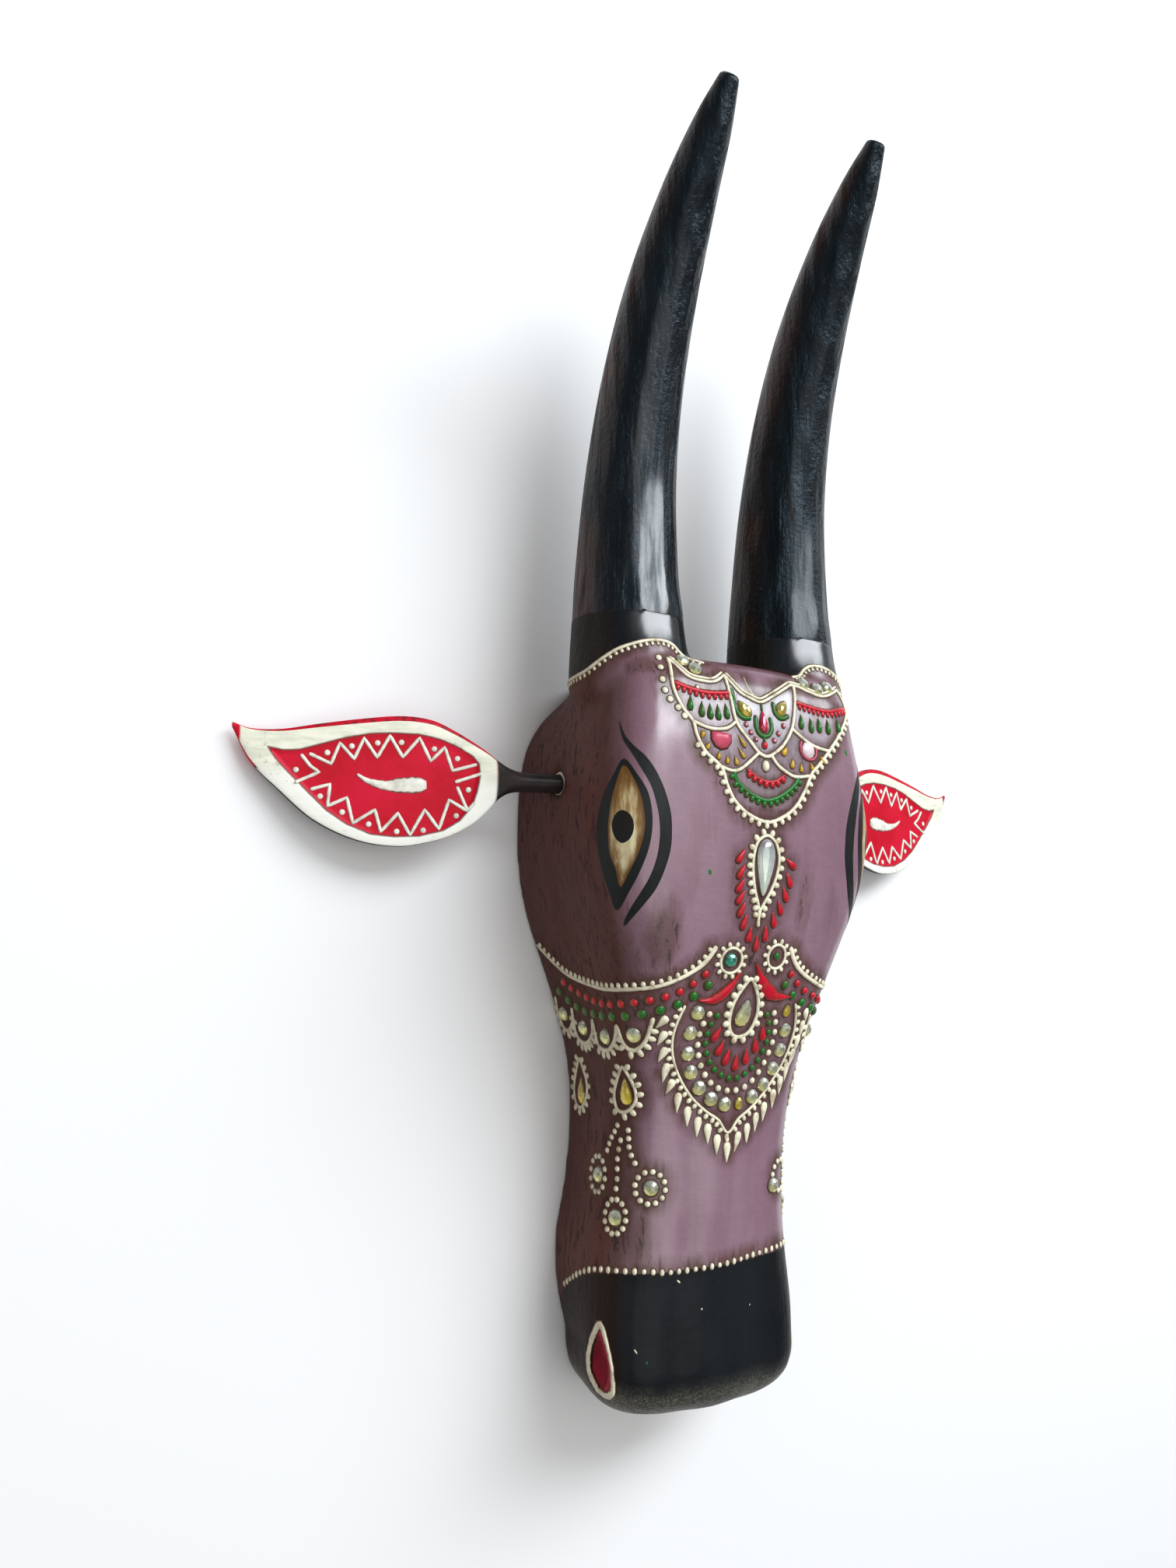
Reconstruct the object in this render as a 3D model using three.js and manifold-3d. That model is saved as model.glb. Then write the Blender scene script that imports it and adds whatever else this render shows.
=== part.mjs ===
// Carved and painted wooden cow mask, lying on its flat back.
// Millimetres. X runs across the face, Y up the head towards the horn tips, Z out of the face.
// The origin is on the flat back, on the centre line, level with the lower ends of the eyes.

import * as THREE from 'three';
import { mergeVertices } from 'three/addons/utils/BufferGeometryUtils.js';
import Module from 'manifold-3d';

const wasm = await Module();
wasm.setup();

// The gap left between pieces that touch.
const fitGap = 0.3;

// The head is one carved block with a flat back. At each height y it has a half width at the
// back, a half width and a depth at the front, and a length cut off to round its front corner.
const headProfile = [
  { y: -190, back: 42, front: 58.5, depth: 70, round: 34 },
  { y: -177, back: 43, front: 58.5, depth: 69.5, round: 34.5 },
  { y: -167, back: 46.6, front: 58.5, depth: 69, round: 35 },
  { y: -140, back: 49, front: 54.5, depth: 69, round: 36 },
  { y: -115, back: 44.5, front: 51, depth: 71, round: 35 },
  { y: -90, back: 42.3, front: 51, depth: 71.8, round: 33 },
  { y: -65, back: 43, front: 52.3, depth: 75, round: 30 },
  { y: -45, back: 47, front: 55, depth: 79.5, round: 29 },
  { y: -25, back: 53.7, front: 58.3, depth: 86, round: 28 },
  { y: -5, back: 61.8, front: 63.5, depth: 91.8, round: 28 },
  { y: 15, back: 69.3, front: 69.7, depth: 96.3, round: 28 },
  { y: 35, back: 73.3, front: 74.2, depth: 99.8, round: 28 },
  { y: 55, back: 74.5, front: 76, depth: 101, round: 28 },
  { y: 75, back: 73.5, front: 74.3, depth: 100.6, round: 30 },
  { y: 90, back: 71.5, front: 73, depth: 99.8, round: 32 },
  { y: 105, back: 64.5, front: 73.5, depth: 98, round: 36 },
  { y: 122, back: 47.5, front: 75.5, depth: 94.5, round: 38 },
];
const muzzleEnd = -208;
const muzzleRounding = 20;
const crownTop = 130;
const crownRounding = 14;
const faceCrown = 2.5;

// Each horn stands on a round boss that flares forward into the crown, and curves forward to a
// blunt tip.
const hornFoot = { x: 45.6, y: 150, z: 54.8, radius: 26.4 };
const bossRings = [
  { y: 98, z: 58.2, radius: 21 },
  { y: 106, z: 58.4, radius: 26 },
  { y: 112, z: 58.5, radius: 28.6 },
  { y: 122, z: 58.3, radius: 29.3 },
  { y: 130, z: 57, radius: 28.4 },
  { y: 138, z: 55.6, radius: 27.5 },
  { y: hornFoot.y, z: hornFoot.z, radius: hornFoot.radius },
];
const hornLine = [
  { x: 46, y: 172.6, z: 54, radius: 24.6 },
  { x: 46, y: 217.8, z: 56.6, radius: 21.9 },
  { x: 45.7, y: 261.4, z: 65.4, radius: 19.7 },
  { x: 45.2, y: 301.7, z: 80.2, radius: 17.3 },
  { x: 44.5, y: 338, z: 100.2, radius: 13.6 },
  { x: 44, y: 364, z: 118.5, radius: 9.4 },
  { x: 43.6, y: 380, z: 130.6, radius: 5 },
];
const hornSides = 16;
const hornSteps = 22;
const tipStep = 2.2;
const tipRadius = 2.6;

// An ear is a leaf on a round stem that is plugged into the side of the head. It sweeps back
// towards its tip. At each distance x from the centre line it has a top and a bottom edge, a
// thickness in front of and behind its middle, and a bluntness: 1 is round and less is squarer.
const earSocket = { x: 73.5, y: 72, z: 40, radius: 5, depth: 9 };
const earSweep = 0.25;
const stemRadius = 4.6;
const earStem = {
  top: earSocket.y + stemRadius,
  bottom: earSocket.y - stemRadius,
  front: stemRadius,
  behind: stemRadius,
  blunt: 1,
};
const earProfile = [
  { x: 65, ...earStem },
  { x: 90, ...earStem },
  { x: 96, top: 78.2, bottom: 66.4, front: 4.2, behind: 5, blunt: 1 },
  { x: 101, top: 81.2, bottom: 63, front: 3.4, behind: 5.6, blunt: 0.8 },
  { x: 106, top: 85, bottom: 57.2, front: 2.6, behind: 6.2, blunt: 0.55 },
  { x: 112, top: 88.8, bottom: 51.6, front: 2.4, behind: 6.4, blunt: 0.45 },
  { x: 121, top: 93.8, bottom: 46.2, front: 2.4, behind: 6.2, blunt: 0.4 },
  { x: 131, top: 98, bottom: 42.7, front: 2.4, behind: 5.8, blunt: 0.4 },
  { x: 144, top: 99, bottom: 40.4, front: 2.4, behind: 5.2, blunt: 0.4 },
  { x: 161.5, top: 96.6, bottom: 42.5, front: 2.3, behind: 4.6, blunt: 0.4 },
  { x: 180, top: 93, bottom: 50.8, front: 2.2, behind: 3.8, blunt: 0.4 },
  { x: 195, top: 89.8, bottom: 63.6, front: 2, behind: 3, blunt: 0.45 },
  { x: 207, top: 89.4, bottom: 75.6, front: 1.6, behind: 2.2, blunt: 0.6 },
  { x: 214.5, top: 91.6, bottom: 89.4, front: 0.8, behind: 1, blunt: 1 },
];
const earSides = 14;
const earSteps = 26;

// A nostril is a leaf-shaped recess cut into the side of the muzzle, pointed above and fuller below.
const nostril = { y: -183, round: 64.5, length: 31, width: 13.5, fullness: 0.45, depth: 7 };

// Glass stones are flat behind. Their seat is the thickness of the glue under them, which also
// takes up the curve of the head.
const stoneHeight = 2.3;
const stoneSeat = 0.75;
const roundStone = 3.4;

// The U of round stones on the nose is most of an ellipse round the nose jewel. Each half is
// counted from the bottom, and two on the right are smaller and yellow.
const noseU = { x: 1, y: -41, halfWidth: 27, halfHeight: 31, perSide: 7, firstAngle: 8.5, angleStep: 17 };
const yellowOnRight = [1, 7];
const smallStone = 2.7;

// Stones on the sides of the head, placed by height and by distance round the face from its
// middle. They are set by hand, so some differ between the left side, -1, and the right, 1.
const bothSides = [-1, 1];
const cheekStones = [
  { y: -40.2, round: 52 },
  { y: -42.2, round: 69.5 },
  { y: -39.7, round: 93 },
  { y: -34.3, round: 115 },
];
const tasselStones = [
  { y: -107.3, round: 37, sides: [-1] },
  { y: -111, round: 31, sides: [1] },
  { y: -104.8, round: 67, sides: bothSides },
  { y: -121.2, round: 53.2, sides: bothSides },
];
const tasselDrops = [
  { y: -65.4, round: 51.7 },
  { y: -69.8, round: 92.6 },
];
const hornStones = [
  { y: 122.3, round: 32.4, sides: [-1] },
  { y: 126, round: 37, sides: [-1] },
  { y: 122.8, round: 30, sides: [1] },
  { y: 121.4, round: 39, sides: [1] },
  { y: 123.6, round: 47, sides: [1] },
];
const crownStones = [
  { y: 105.4, x: -10.6, lean: 0.6 },
  { y: 108.4, x: 12.6, lean: -0.7 },
];

const paint = (color, roughness) => new THREE.MeshStandardMaterial({ color, roughness, metalness: 0 });
const mauvePaint = paint(0x7d5a6b, 0.5);
const blackPaint = paint(0x101214, 0.35);
const redPaint = paint(0xb01226, 0.35);
const clearGlass = paint(0xb9c2b4, 0.08);
const yellowGlass = paint(0xc9a53a, 0.08);
const redGlass = paint(0xa0142c, 0.08);
const greenGlass = paint(0x1d7a55, 0.08);

// A smooth curve through one column of a table whose rows are in order of another column.
function follow(table, at, key, value) {
  const last = table.length - 1;
  const clamped = THREE.MathUtils.clamp(at, table[0][key], table[last][key]);
  let i = 0;
  while (i < last - 1 && table[i + 1][key] < clamped) i += 1;
  const slope = (j) => {
    const before = table[Math.max(j - 1, 0)];
    const after = table[Math.min(j + 1, last)];
    return (after[value] - before[value]) / (after[key] - before[key]);
  };
  const span = table[i + 1][key] - table[i][key];
  const t = (clamped - table[i][key]) / span;
  return (
    (2 * t ** 3 - 3 * t ** 2 + 1) * table[i][value] +
    (t ** 3 - 2 * t ** 2 + t) * span * slope(i) +
    (3 * t ** 2 - 2 * t ** 3) * table[i + 1][value] +
    (t ** 3 - t ** 2) * span * slope(i + 1)
  );
}

// A closed solid through rings of equal numbers of points, closed by a fan at each end.
function loft(rings) {
  const sides = rings[0].length;
  const points = rings.flat();
  const triangles = [];
  for (let r = 0; r < rings.length - 1; r += 1) {
    for (let s = 0; s < sides; s += 1) {
      const a = r * sides + s;
      const b = r * sides + ((s + 1) % sides);
      triangles.push(a, b, b + sides, a, b + sides, a + sides);
    }
  }
  for (const [ring, order] of [[0, 1], [rings.length - 1, -1]]) {
    const centre = new THREE.Vector3();
    rings[ring].forEach((p) => centre.addScaledVector(p, 1 / sides));
    points.push(centre);
    for (let s = 0; s < sides; s += 1) {
      const a = ring * sides + s;
      const b = ring * sides + ((s + 1) % sides);
      triangles.push(...(order > 0 ? [points.length - 1, b, a] : [points.length - 1, a, b]));
    }
  }
  const geometry = new THREE.BufferGeometry();
  geometry.setAttribute('position', new THREE.Float32BufferAttribute(points.flatMap((p) => p.toArray()), 3));
  geometry.setIndex(triangles);
  return faceOutwards(geometry);
}

// The signed volume is negative where a mesh is inside out, and its triangles are turned.
function faceOutwards(geometry) {
  const position = geometry.getAttribute('position');
  const index = geometry.getIndex();
  const [a, b, c] = [new THREE.Vector3(), new THREE.Vector3(), new THREE.Vector3()];
  let volume = 0;
  for (let i = 0; i < index.count; i += 3) {
    a.fromBufferAttribute(position, index.getX(i));
    b.fromBufferAttribute(position, index.getX(i + 1));
    c.fromBufferAttribute(position, index.getX(i + 2));
    volume += a.dot(b.cross(c));
  }
  if (volume < 0) {
    for (let i = 0; i < index.count; i += 3) {
      const first = index.getX(i);
      index.setX(i, index.getX(i + 1));
      index.setX(i + 1, first);
    }
  }
  return geometry;
}

function toSolid(geometry) {
  const bare = geometry.clone();
  bare.deleteAttribute('normal');
  bare.deleteAttribute('uv');
  const merged = mergeVertices(bare, 1e-4);
  return new wasm.Manifold(new wasm.Mesh({
    numProp: 3,
    vertProperties: new Float32Array(merged.getAttribute('position').array),
    triVerts: new Uint32Array(merged.getIndex().array),
  }));
}

function toGeometry(solid) {
  const mesh = solid.getMesh();
  const geometry = new THREE.BufferGeometry();
  geometry.setAttribute('position', new THREE.BufferAttribute(mesh.vertProperties, 3));
  geometry.setIndex(new THREE.BufferAttribute(mesh.triVerts, 1));
  return geometry;
}

// How far a rounded end draws in, from nothing where the rounding starts to all at the end.
const drawIn = (into, rounding) => rounding * (1 - Math.sqrt(Math.max(0, 1 - (into / rounding) ** 2)));

// Half of the head's outline at height y, from the middle of the face round to the back corner.
function headOutline(y, frontSteps = 6, cornerSteps = 8, sideSteps = 5) {
  const muzzleDraw = drawIn(Math.max(0, muzzleEnd + muzzleRounding - y), muzzleRounding);
  const crownDraw = drawIn(Math.max(0, y - crownTop + crownRounding), crownRounding);
  const back = follow(headProfile, y, 'y', 'back') - 0.9 * muzzleDraw - 0.6 * crownDraw;
  const front = follow(headProfile, y, 'y', 'front') - muzzleDraw - crownDraw;
  const depth = follow(headProfile, y, 'y', 'depth') - 0.9 * muzzleDraw - crownDraw;
  const round = follow(headProfile, y, 'y', 'round');
  const corner = new THREE.Vector2(front, depth - faceCrown);
  const foot = new THREE.Vector2(back, 0);
  const cornerStart = new THREE.Vector2(front - round, depth - faceCrown);
  const cornerEnd = foot.clone().sub(corner).setLength(round).add(corner);
  const points = [];
  for (let i = 0; i < frontSteps; i += 1) {
    const share = i / frontSteps;
    points.push(new THREE.Vector2(cornerStart.x * share, depth - faceCrown * share ** 2));
  }
  points.push(...new THREE.QuadraticBezierCurve(cornerStart, corner, cornerEnd).getPoints(cornerSteps));
  for (let i = 1; i <= sideSteps; i += 1) points.push(cornerEnd.clone().lerp(foot, i / sideSteps));
  return points;
}

// The point and the outward direction at height y, a distance round the face from its middle.
function onHead(y, round) {
  const walk = (height, distance) => {
    const outline = headOutline(height, 12, 16, 12);
    let left = Math.abs(distance);
    let i = 0;
    while (i < outline.length - 2 && left > outline[i].distanceTo(outline[i + 1])) {
      left -= outline[i].distanceTo(outline[i + 1]);
      i += 1;
    }
    const flat = outline[i].clone().lerp(outline[i + 1], left / outline[i].distanceTo(outline[i + 1]));
    return new THREE.Vector3(Math.sign(distance) * flat.x, height, flat.y);
  };
  const step = 1.5;
  const along = walk(y + step, round).sub(walk(y - step, round));
  const across = walk(y, round + step).sub(walk(y, round - step));
  return { point: walk(y, round), out: across.cross(along).normalize() };
}

function headBlock() {
  const heights = [];
  const spacing = 8.6;
  for (const share of [0, 0.05, 0.17, 0.35, 0.6]) heights.push(muzzleEnd + muzzleRounding * share);
  const bodyStart = muzzleEnd + muzzleRounding;
  const bodyEnd = crownTop - crownRounding;
  const bodySteps = Math.round((bodyEnd - bodyStart) / spacing);
  for (let i = 0; i <= bodySteps; i += 1) heights.push(bodyStart + ((bodyEnd - bodyStart) * i) / bodySteps);
  for (const share of [0.4, 0.7, 0.9, 1]) heights.push(bodyEnd + crownRounding * share);
  return loft(heights.map((y) => {
    const half = headOutline(y);
    const right = half.map((p) => new THREE.Vector3(p.x, y, p.y));
    const left = half.slice(1).reverse().map((p) => new THREE.Vector3(-p.x, y, p.y));
    return [...right, ...left];
  }));
}

function hornBoss(side) {
  return loft(bossRings.map(({ y, z, radius }) => circle(side * hornFoot.x, y, z, radius, 24)));
}

function circle(x, y, z, radius, sides) {
  return Array.from({ length: sides }, (_, i) => {
    const turn = (i / sides) * 2 * Math.PI;
    return new THREE.Vector3(x + radius * Math.cos(turn), y, z + radius * Math.sin(turn));
  });
}

// A cutter whose section is the nostril's leaf, made narrower and shorter as it goes deeper.
function nostrilCutter(side) {
  const { point, out } = onHead(nostril.y, side * nostril.round);
  const along = new THREE.Vector3(0, 1, 0).addScaledVector(out, -out.y).normalize();
  const across = new THREE.Vector3().crossVectors(along, out).normalize();
  const steps = 8;
  const layers = [[4, 1.15], [0, 1], [-nostril.depth * 0.6, 0.8], [-nostril.depth, 0.35]];
  return loft(layers.map(([height, scale]) => {
    const ring = [];
    for (let i = 0; i < 2 * steps; i += 1) {
      const turn = (i / steps) * Math.PI;
      const along01 = Math.cos(turn);
      const leaf = Math.sign(Math.sin(turn)) * (1 - along01 ** 2) * (1 - nostril.fullness * along01);
      ring.push(point.clone()
        .addScaledVector(out, height)
        .addScaledVector(along, along01 * scale * nostril.length / 2)
        .addScaledVector(across, leaf * scale * nostril.width / 2));
    }
    return ring;
  }));
}

function earHole(side) {
  const mouth = earSocket.x + 6;
  const end = earSocket.x - earSocket.depth - 1;
  const ring = (x) => Array.from({ length: 16 }, (_, i) => {
    const turn = (i / 16) * 2 * Math.PI;
    const z = earSocket.z + earSweep * (earSocket.x - x);
    return new THREE.Vector3(
      side * x,
      earSocket.y + earSocket.radius * Math.cos(turn),
      z + earSocket.radius * Math.sin(turn),
    );
  });
  return loft([ring(mouth), ring(end)]);
}

function head() {
  let solid = toSolid(headBlock());
  for (const side of [-1, 1]) {
    solid = solid.add(toSolid(hornBoss(side)));
    solid = solid.subtract(toSolid(nostrilCutter(side)));
    solid = solid.subtract(toSolid(earHole(side)));
  }
  return toGeometry(solid);
}

function horn(side) {
  const line = [{ ...hornFoot, y: hornFoot.y + fitGap }, ...hornLine];
  const curve = new THREE.CatmullRomCurve3(line.map((p) => new THREE.Vector3(side * p.x, p.y, p.z)));
  const rings = [circle(side * hornFoot.x, hornFoot.y + fitGap, hornFoot.z, hornFoot.radius - fitGap, hornSides)];
  const tip = line[line.length - 1];
  for (let i = 1; i <= hornSteps; i += 1) {
    const centre = curve.getPointAt(i / hornSteps);
    const forward = curve.getTangentAt(i / hornSteps);
    rings.push(tilted(centre, forward, side, follow(line, centre.y, 'y', 'radius')));
  }
  const end = curve.getTangentAt(1);
  const nose = new THREE.Vector3(side * tip.x, tip.y, tip.z).addScaledVector(end, tipStep);
  rings.push(tilted(nose, end, side, tipRadius));
  return loft(rings);
}

// A ring across the horn's own direction. It starts on the +X side, as circle does.
function tilted(centre, forward, side, radius) {
  const across = new THREE.Vector3(1, 0, 0).addScaledVector(forward, -forward.x).normalize();
  const out = new THREE.Vector3().crossVectors(across, forward).normalize();
  return Array.from({ length: hornSides }, (_, i) => {
    const turn = (i / hornSides) * 2 * Math.PI;
    return centre.clone()
      .addScaledVector(across, radius * Math.cos(turn))
      .addScaledVector(out, radius * Math.sin(turn));
  });
}

function ear(side) {
  const first = earProfile[0].x;
  const last = earProfile[earProfile.length - 1].x;
  const rings = [];
  for (let i = 0; i <= earSteps; i += 1) {
    const x = first + ((last - first) * i) / earSteps;
    const [top, bottom, front, behind, blunt] = ['top', 'bottom', 'front', 'behind', 'blunt']
      .map((key) => follow(earProfile, x, 'x', key));
    const middle = earSocket.z - earSweep * (x - earSocket.x);
    rings.push(Array.from({ length: earSides }, (_, k) => {
      const turn = (k / earSides) * 2 * Math.PI;
      const rise = Math.sin(turn);
      const thickness = Math.sign(rise) * Math.abs(rise) ** blunt * (rise > 0 ? front : behind);
      return new THREE.Vector3(
        side * x,
        (top + bottom) / 2 + ((top - bottom) / 2) * Math.cos(turn),
        middle + thickness,
      );
    }));
  }
  return loft(rings);
}

// A stone with a flat back, through copies of its outline at rising heights.
function stone(outline, layers) {
  return loft(layers.map(([height, scale]) => (
    outline.map((p) => new THREE.Vector3(p.x * scale, p.y * scale, height))
  )));
}

const bevelled = [[0, 0.92], [0.35 * stoneHeight, 1], [stoneHeight, 0.48]];
const domed = [[0, 0.95], [1, 1], [2.6, 0.86], [3.7, 0.58], [4.2, 0.22]];

function roundOutline(radius, sides = 8) {
  return Array.from({ length: sides }, (_, i) => {
    const turn = (i / sides) * 2 * Math.PI;
    return new THREE.Vector2(radius * Math.cos(turn), radius * Math.sin(turn));
  });
}

// A drop with its point up: a round end below whose sides run together above.
function dropOutline(width, length, sides = 10) {
  return Array.from({ length: sides }, (_, i) => {
    const turn = (i / sides) * 2 * Math.PI;
    const narrowing = 1.12 * ((1 - Math.cos(turn)) / 2) ** 0.45;
    return new THREE.Vector2((-width / 2) * Math.sin(turn) * narrowing, (length / 2) * Math.cos(turn));
  });
}

const roundShape = stone(roundOutline(roundStone), bevelled);
const smallShape = stone(roundOutline(smallStone), bevelled);
const tasselDropShape = stone(dropOutline(7.4, 12.8), bevelled);
const noseDropShape = stone(dropOutline(7, 12.6), bevelled);
const crownDropShape = stone(dropOutline(6.2, 10.8), bevelled);
const eggShape = stone(dropOutline(6.6, 9), bevelled);
const foreheadShape = stone(dropOutline(11, 25.4, 16), domed);

const mask = new THREE.Group();

function addMesh(name, geometry, material) {
  const flat = geometry.toNonIndexed();
  flat.computeVertexNormals();
  const mesh = new THREE.Mesh(flat, material);
  mesh.name = name;
  mask.add(mesh);
  return mesh;
}

// Sets a stone on the head, its back along the surface and its point turned from straight up.
function setStone(name, shape, material, y, round, turn = 0, seat = stoneSeat) {
  const { point, out } = onHead(y, round);
  const up = new THREE.Vector3(0, 1, 0).addScaledVector(out, -out.y).normalize();
  const right = new THREE.Vector3().crossVectors(up, out);
  const mesh = addMesh(name, shape, material);
  mesh.position.copy(point).addScaledVector(out, seat);
  mesh.quaternion.setFromRotationMatrix(new THREE.Matrix4().makeBasis(right, up, out));
  mesh.rotateZ(turn);
}

addMesh('head', head(), mauvePaint);
setStone('stone_forehead', foreheadShape, clearGlass, 34, 0, Math.PI, 1.1);
setStone('stone_crown_middle', crownDropShape, redGlass, 100.4, 0);
setStone('stone_flower_left', roundShape, greenGlass, -7, -12.4);
setStone('stone_nose_middle', noseDropShape, clearGlass, -30.5, 0);

for (const side of [-1, 1]) {
  const which = side < 0 ? 'left' : 'right';
  addMesh(`horn_${which}`, horn(side), blackPaint);
  addMesh(`ear_${which}`, ear(side), redPaint);
  const crownStone = crownStones[side < 0 ? 0 : 1];
  setStone(`stone_crown_${which}`, eggShape, yellowGlass, crownStone.y, crownStone.x, crownStone.lean);
  for (let i = 0; i < noseU.perSide; i += 1) {
    const turn = THREE.MathUtils.degToRad(noseU.firstAngle + noseU.angleStep * i);
    const y = noseU.y - noseU.halfHeight * Math.cos(turn);
    const round = noseU.x + side * noseU.halfWidth * Math.sin(turn);
    const small = side > 0 && yellowOnRight.includes(i + 1);
    const shape = small ? smallShape : roundShape;
    setStone(`stone_nose_${which}_${i + 1}`, shape, small ? yellowGlass : clearGlass, y, round);
  }
  cheekStones.forEach(({ y, round }, i) => {
    setStone(`stone_cheek_${which}_${i + 1}`, roundShape, clearGlass, y, side * round);
  });
  tasselStones.filter(({ sides }) => sides.includes(side)).forEach(({ y, round }, i) => {
    setStone(`stone_tassel_${which}_${i + 1}`, roundShape, clearGlass, y, side * round);
  });
  tasselDrops.forEach(({ y, round }, i) => {
    setStone(`drop_tassel_${which}_${i + 1}`, tasselDropShape, yellowGlass, y, side * round);
  });
  hornStones.filter(({ sides }) => sides.includes(side)).forEach(({ y, round }, i) => {
    setStone(`stone_horn_${which}_${i + 1}`, roundShape, clearGlass, y, side * round);
  });
}

export default mask;
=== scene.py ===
import math

import bpy
from mathutils import Matrix, Vector
from mathutils.bvhtree import BVHTree
from mathutils.kdtree import KDTree


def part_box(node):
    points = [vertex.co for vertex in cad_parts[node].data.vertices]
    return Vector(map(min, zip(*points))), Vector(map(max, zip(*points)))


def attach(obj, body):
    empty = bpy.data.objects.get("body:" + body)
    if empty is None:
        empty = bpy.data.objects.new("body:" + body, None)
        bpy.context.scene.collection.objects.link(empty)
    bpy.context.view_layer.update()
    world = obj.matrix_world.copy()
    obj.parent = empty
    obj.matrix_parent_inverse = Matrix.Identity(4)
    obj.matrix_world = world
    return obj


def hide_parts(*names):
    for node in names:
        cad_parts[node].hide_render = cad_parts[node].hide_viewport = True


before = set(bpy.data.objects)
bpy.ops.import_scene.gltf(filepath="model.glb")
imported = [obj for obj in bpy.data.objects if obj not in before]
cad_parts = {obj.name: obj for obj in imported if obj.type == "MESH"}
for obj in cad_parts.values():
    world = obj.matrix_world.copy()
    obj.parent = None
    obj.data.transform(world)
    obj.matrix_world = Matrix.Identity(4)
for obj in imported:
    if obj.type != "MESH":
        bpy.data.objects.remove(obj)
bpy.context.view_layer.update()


# The camera, the floor and the lamps.
# The mask lies on its flat back on a pale floor. A wide soft lamp stands beyond the horns and a
# little to the right, so the mask's left side stays in shade. A broad one overhead lights the
# floor evenly, and a weak one lifts the shade.
def new_object(name, data):
    made = bpy.data.objects.new(name, data)
    bpy.context.scene.collection.objects.link(made)
    return made


camera_data = bpy.data.cameras.new("camera")
camera_data.sensor_fit = "VERTICAL"
camera_data.sensor_height = 36
camera_data.sensor_width = 27
camera_data.lens = 27.68
camera = new_object("camera", camera_data)
camera.matrix_world = Matrix((
    (0.86241, -0.07909, -0.5, -0.3398),
    (0.01562, 0.99141, -0.12988, 0.0),
    (0.50598, 0.10420, 0.85623, 0.5241),
    (0.0, 0.0, 0.0, 1.0),
))
bpy.context.scene.camera = camera
bpy.context.scene.view_settings.view_transform = "Standard"


def add_lamp(name, place, aim, width, height, power, colour):
    data = bpy.data.lights.new(name, "AREA")
    data.shape = "ELLIPSE"
    data.size = width
    data.size_y = height
    data.energy = power
    data.color = colour
    lamp = new_object(name, data)
    back = (Vector(place) - Vector(aim)).normalized()
    right = Vector((0, 1, 0)).cross(back).normalized()
    turned = Matrix((right, back.cross(right), back)).transposed().to_4x4()
    lamp.matrix_world = Matrix.Translation(place) @ turned


add_lamp("window lamp", (0.80, 1.12, 1.46), (0, 0.05, 0.05), 2.3, 0.8, 43, (0.90, 0.955, 1.0))
add_lamp("ceiling lamp", (-0.15, -0.1, 2.4), (-0.15, -0.1001, 0), 2.8, 2.8, 22, (1.0, 0.99, 0.97))
add_lamp("shade lamp", (-1.5, -0.3, 0.9), (0, 0, 0.05), 1.2, 1.2, 1.5, (1.0, 0.93, 0.85))

world = bpy.data.worlds.new("studio")
bpy.context.scene.world = world
world.use_nodes = True
sky = world.node_tree.nodes["Background"]
sky.inputs["Color"].default_value = (0.97, 0.98, 1.0, 1)
sky.inputs["Strength"].default_value = 0.30

bpy.ops.object.select_all(action="DESELECT")
bpy.ops.mesh.primitive_plane_add(size=12, location=(0, 0, 0))
floor = bpy.context.object
floor.name = "floor"
floor_paint = bpy.data.materials.new("floor paint")
floor_paint.use_nodes = True
floor_shader = floor_paint.node_tree.nodes["Principled BSDF"]
floor_shader.inputs["Base Color"].default_value = (0.88, 0.88, 0.88, 1)
floor_shader.inputs["Roughness"].default_value = 0.8
floor.data.materials.append(floor_paint)


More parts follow.
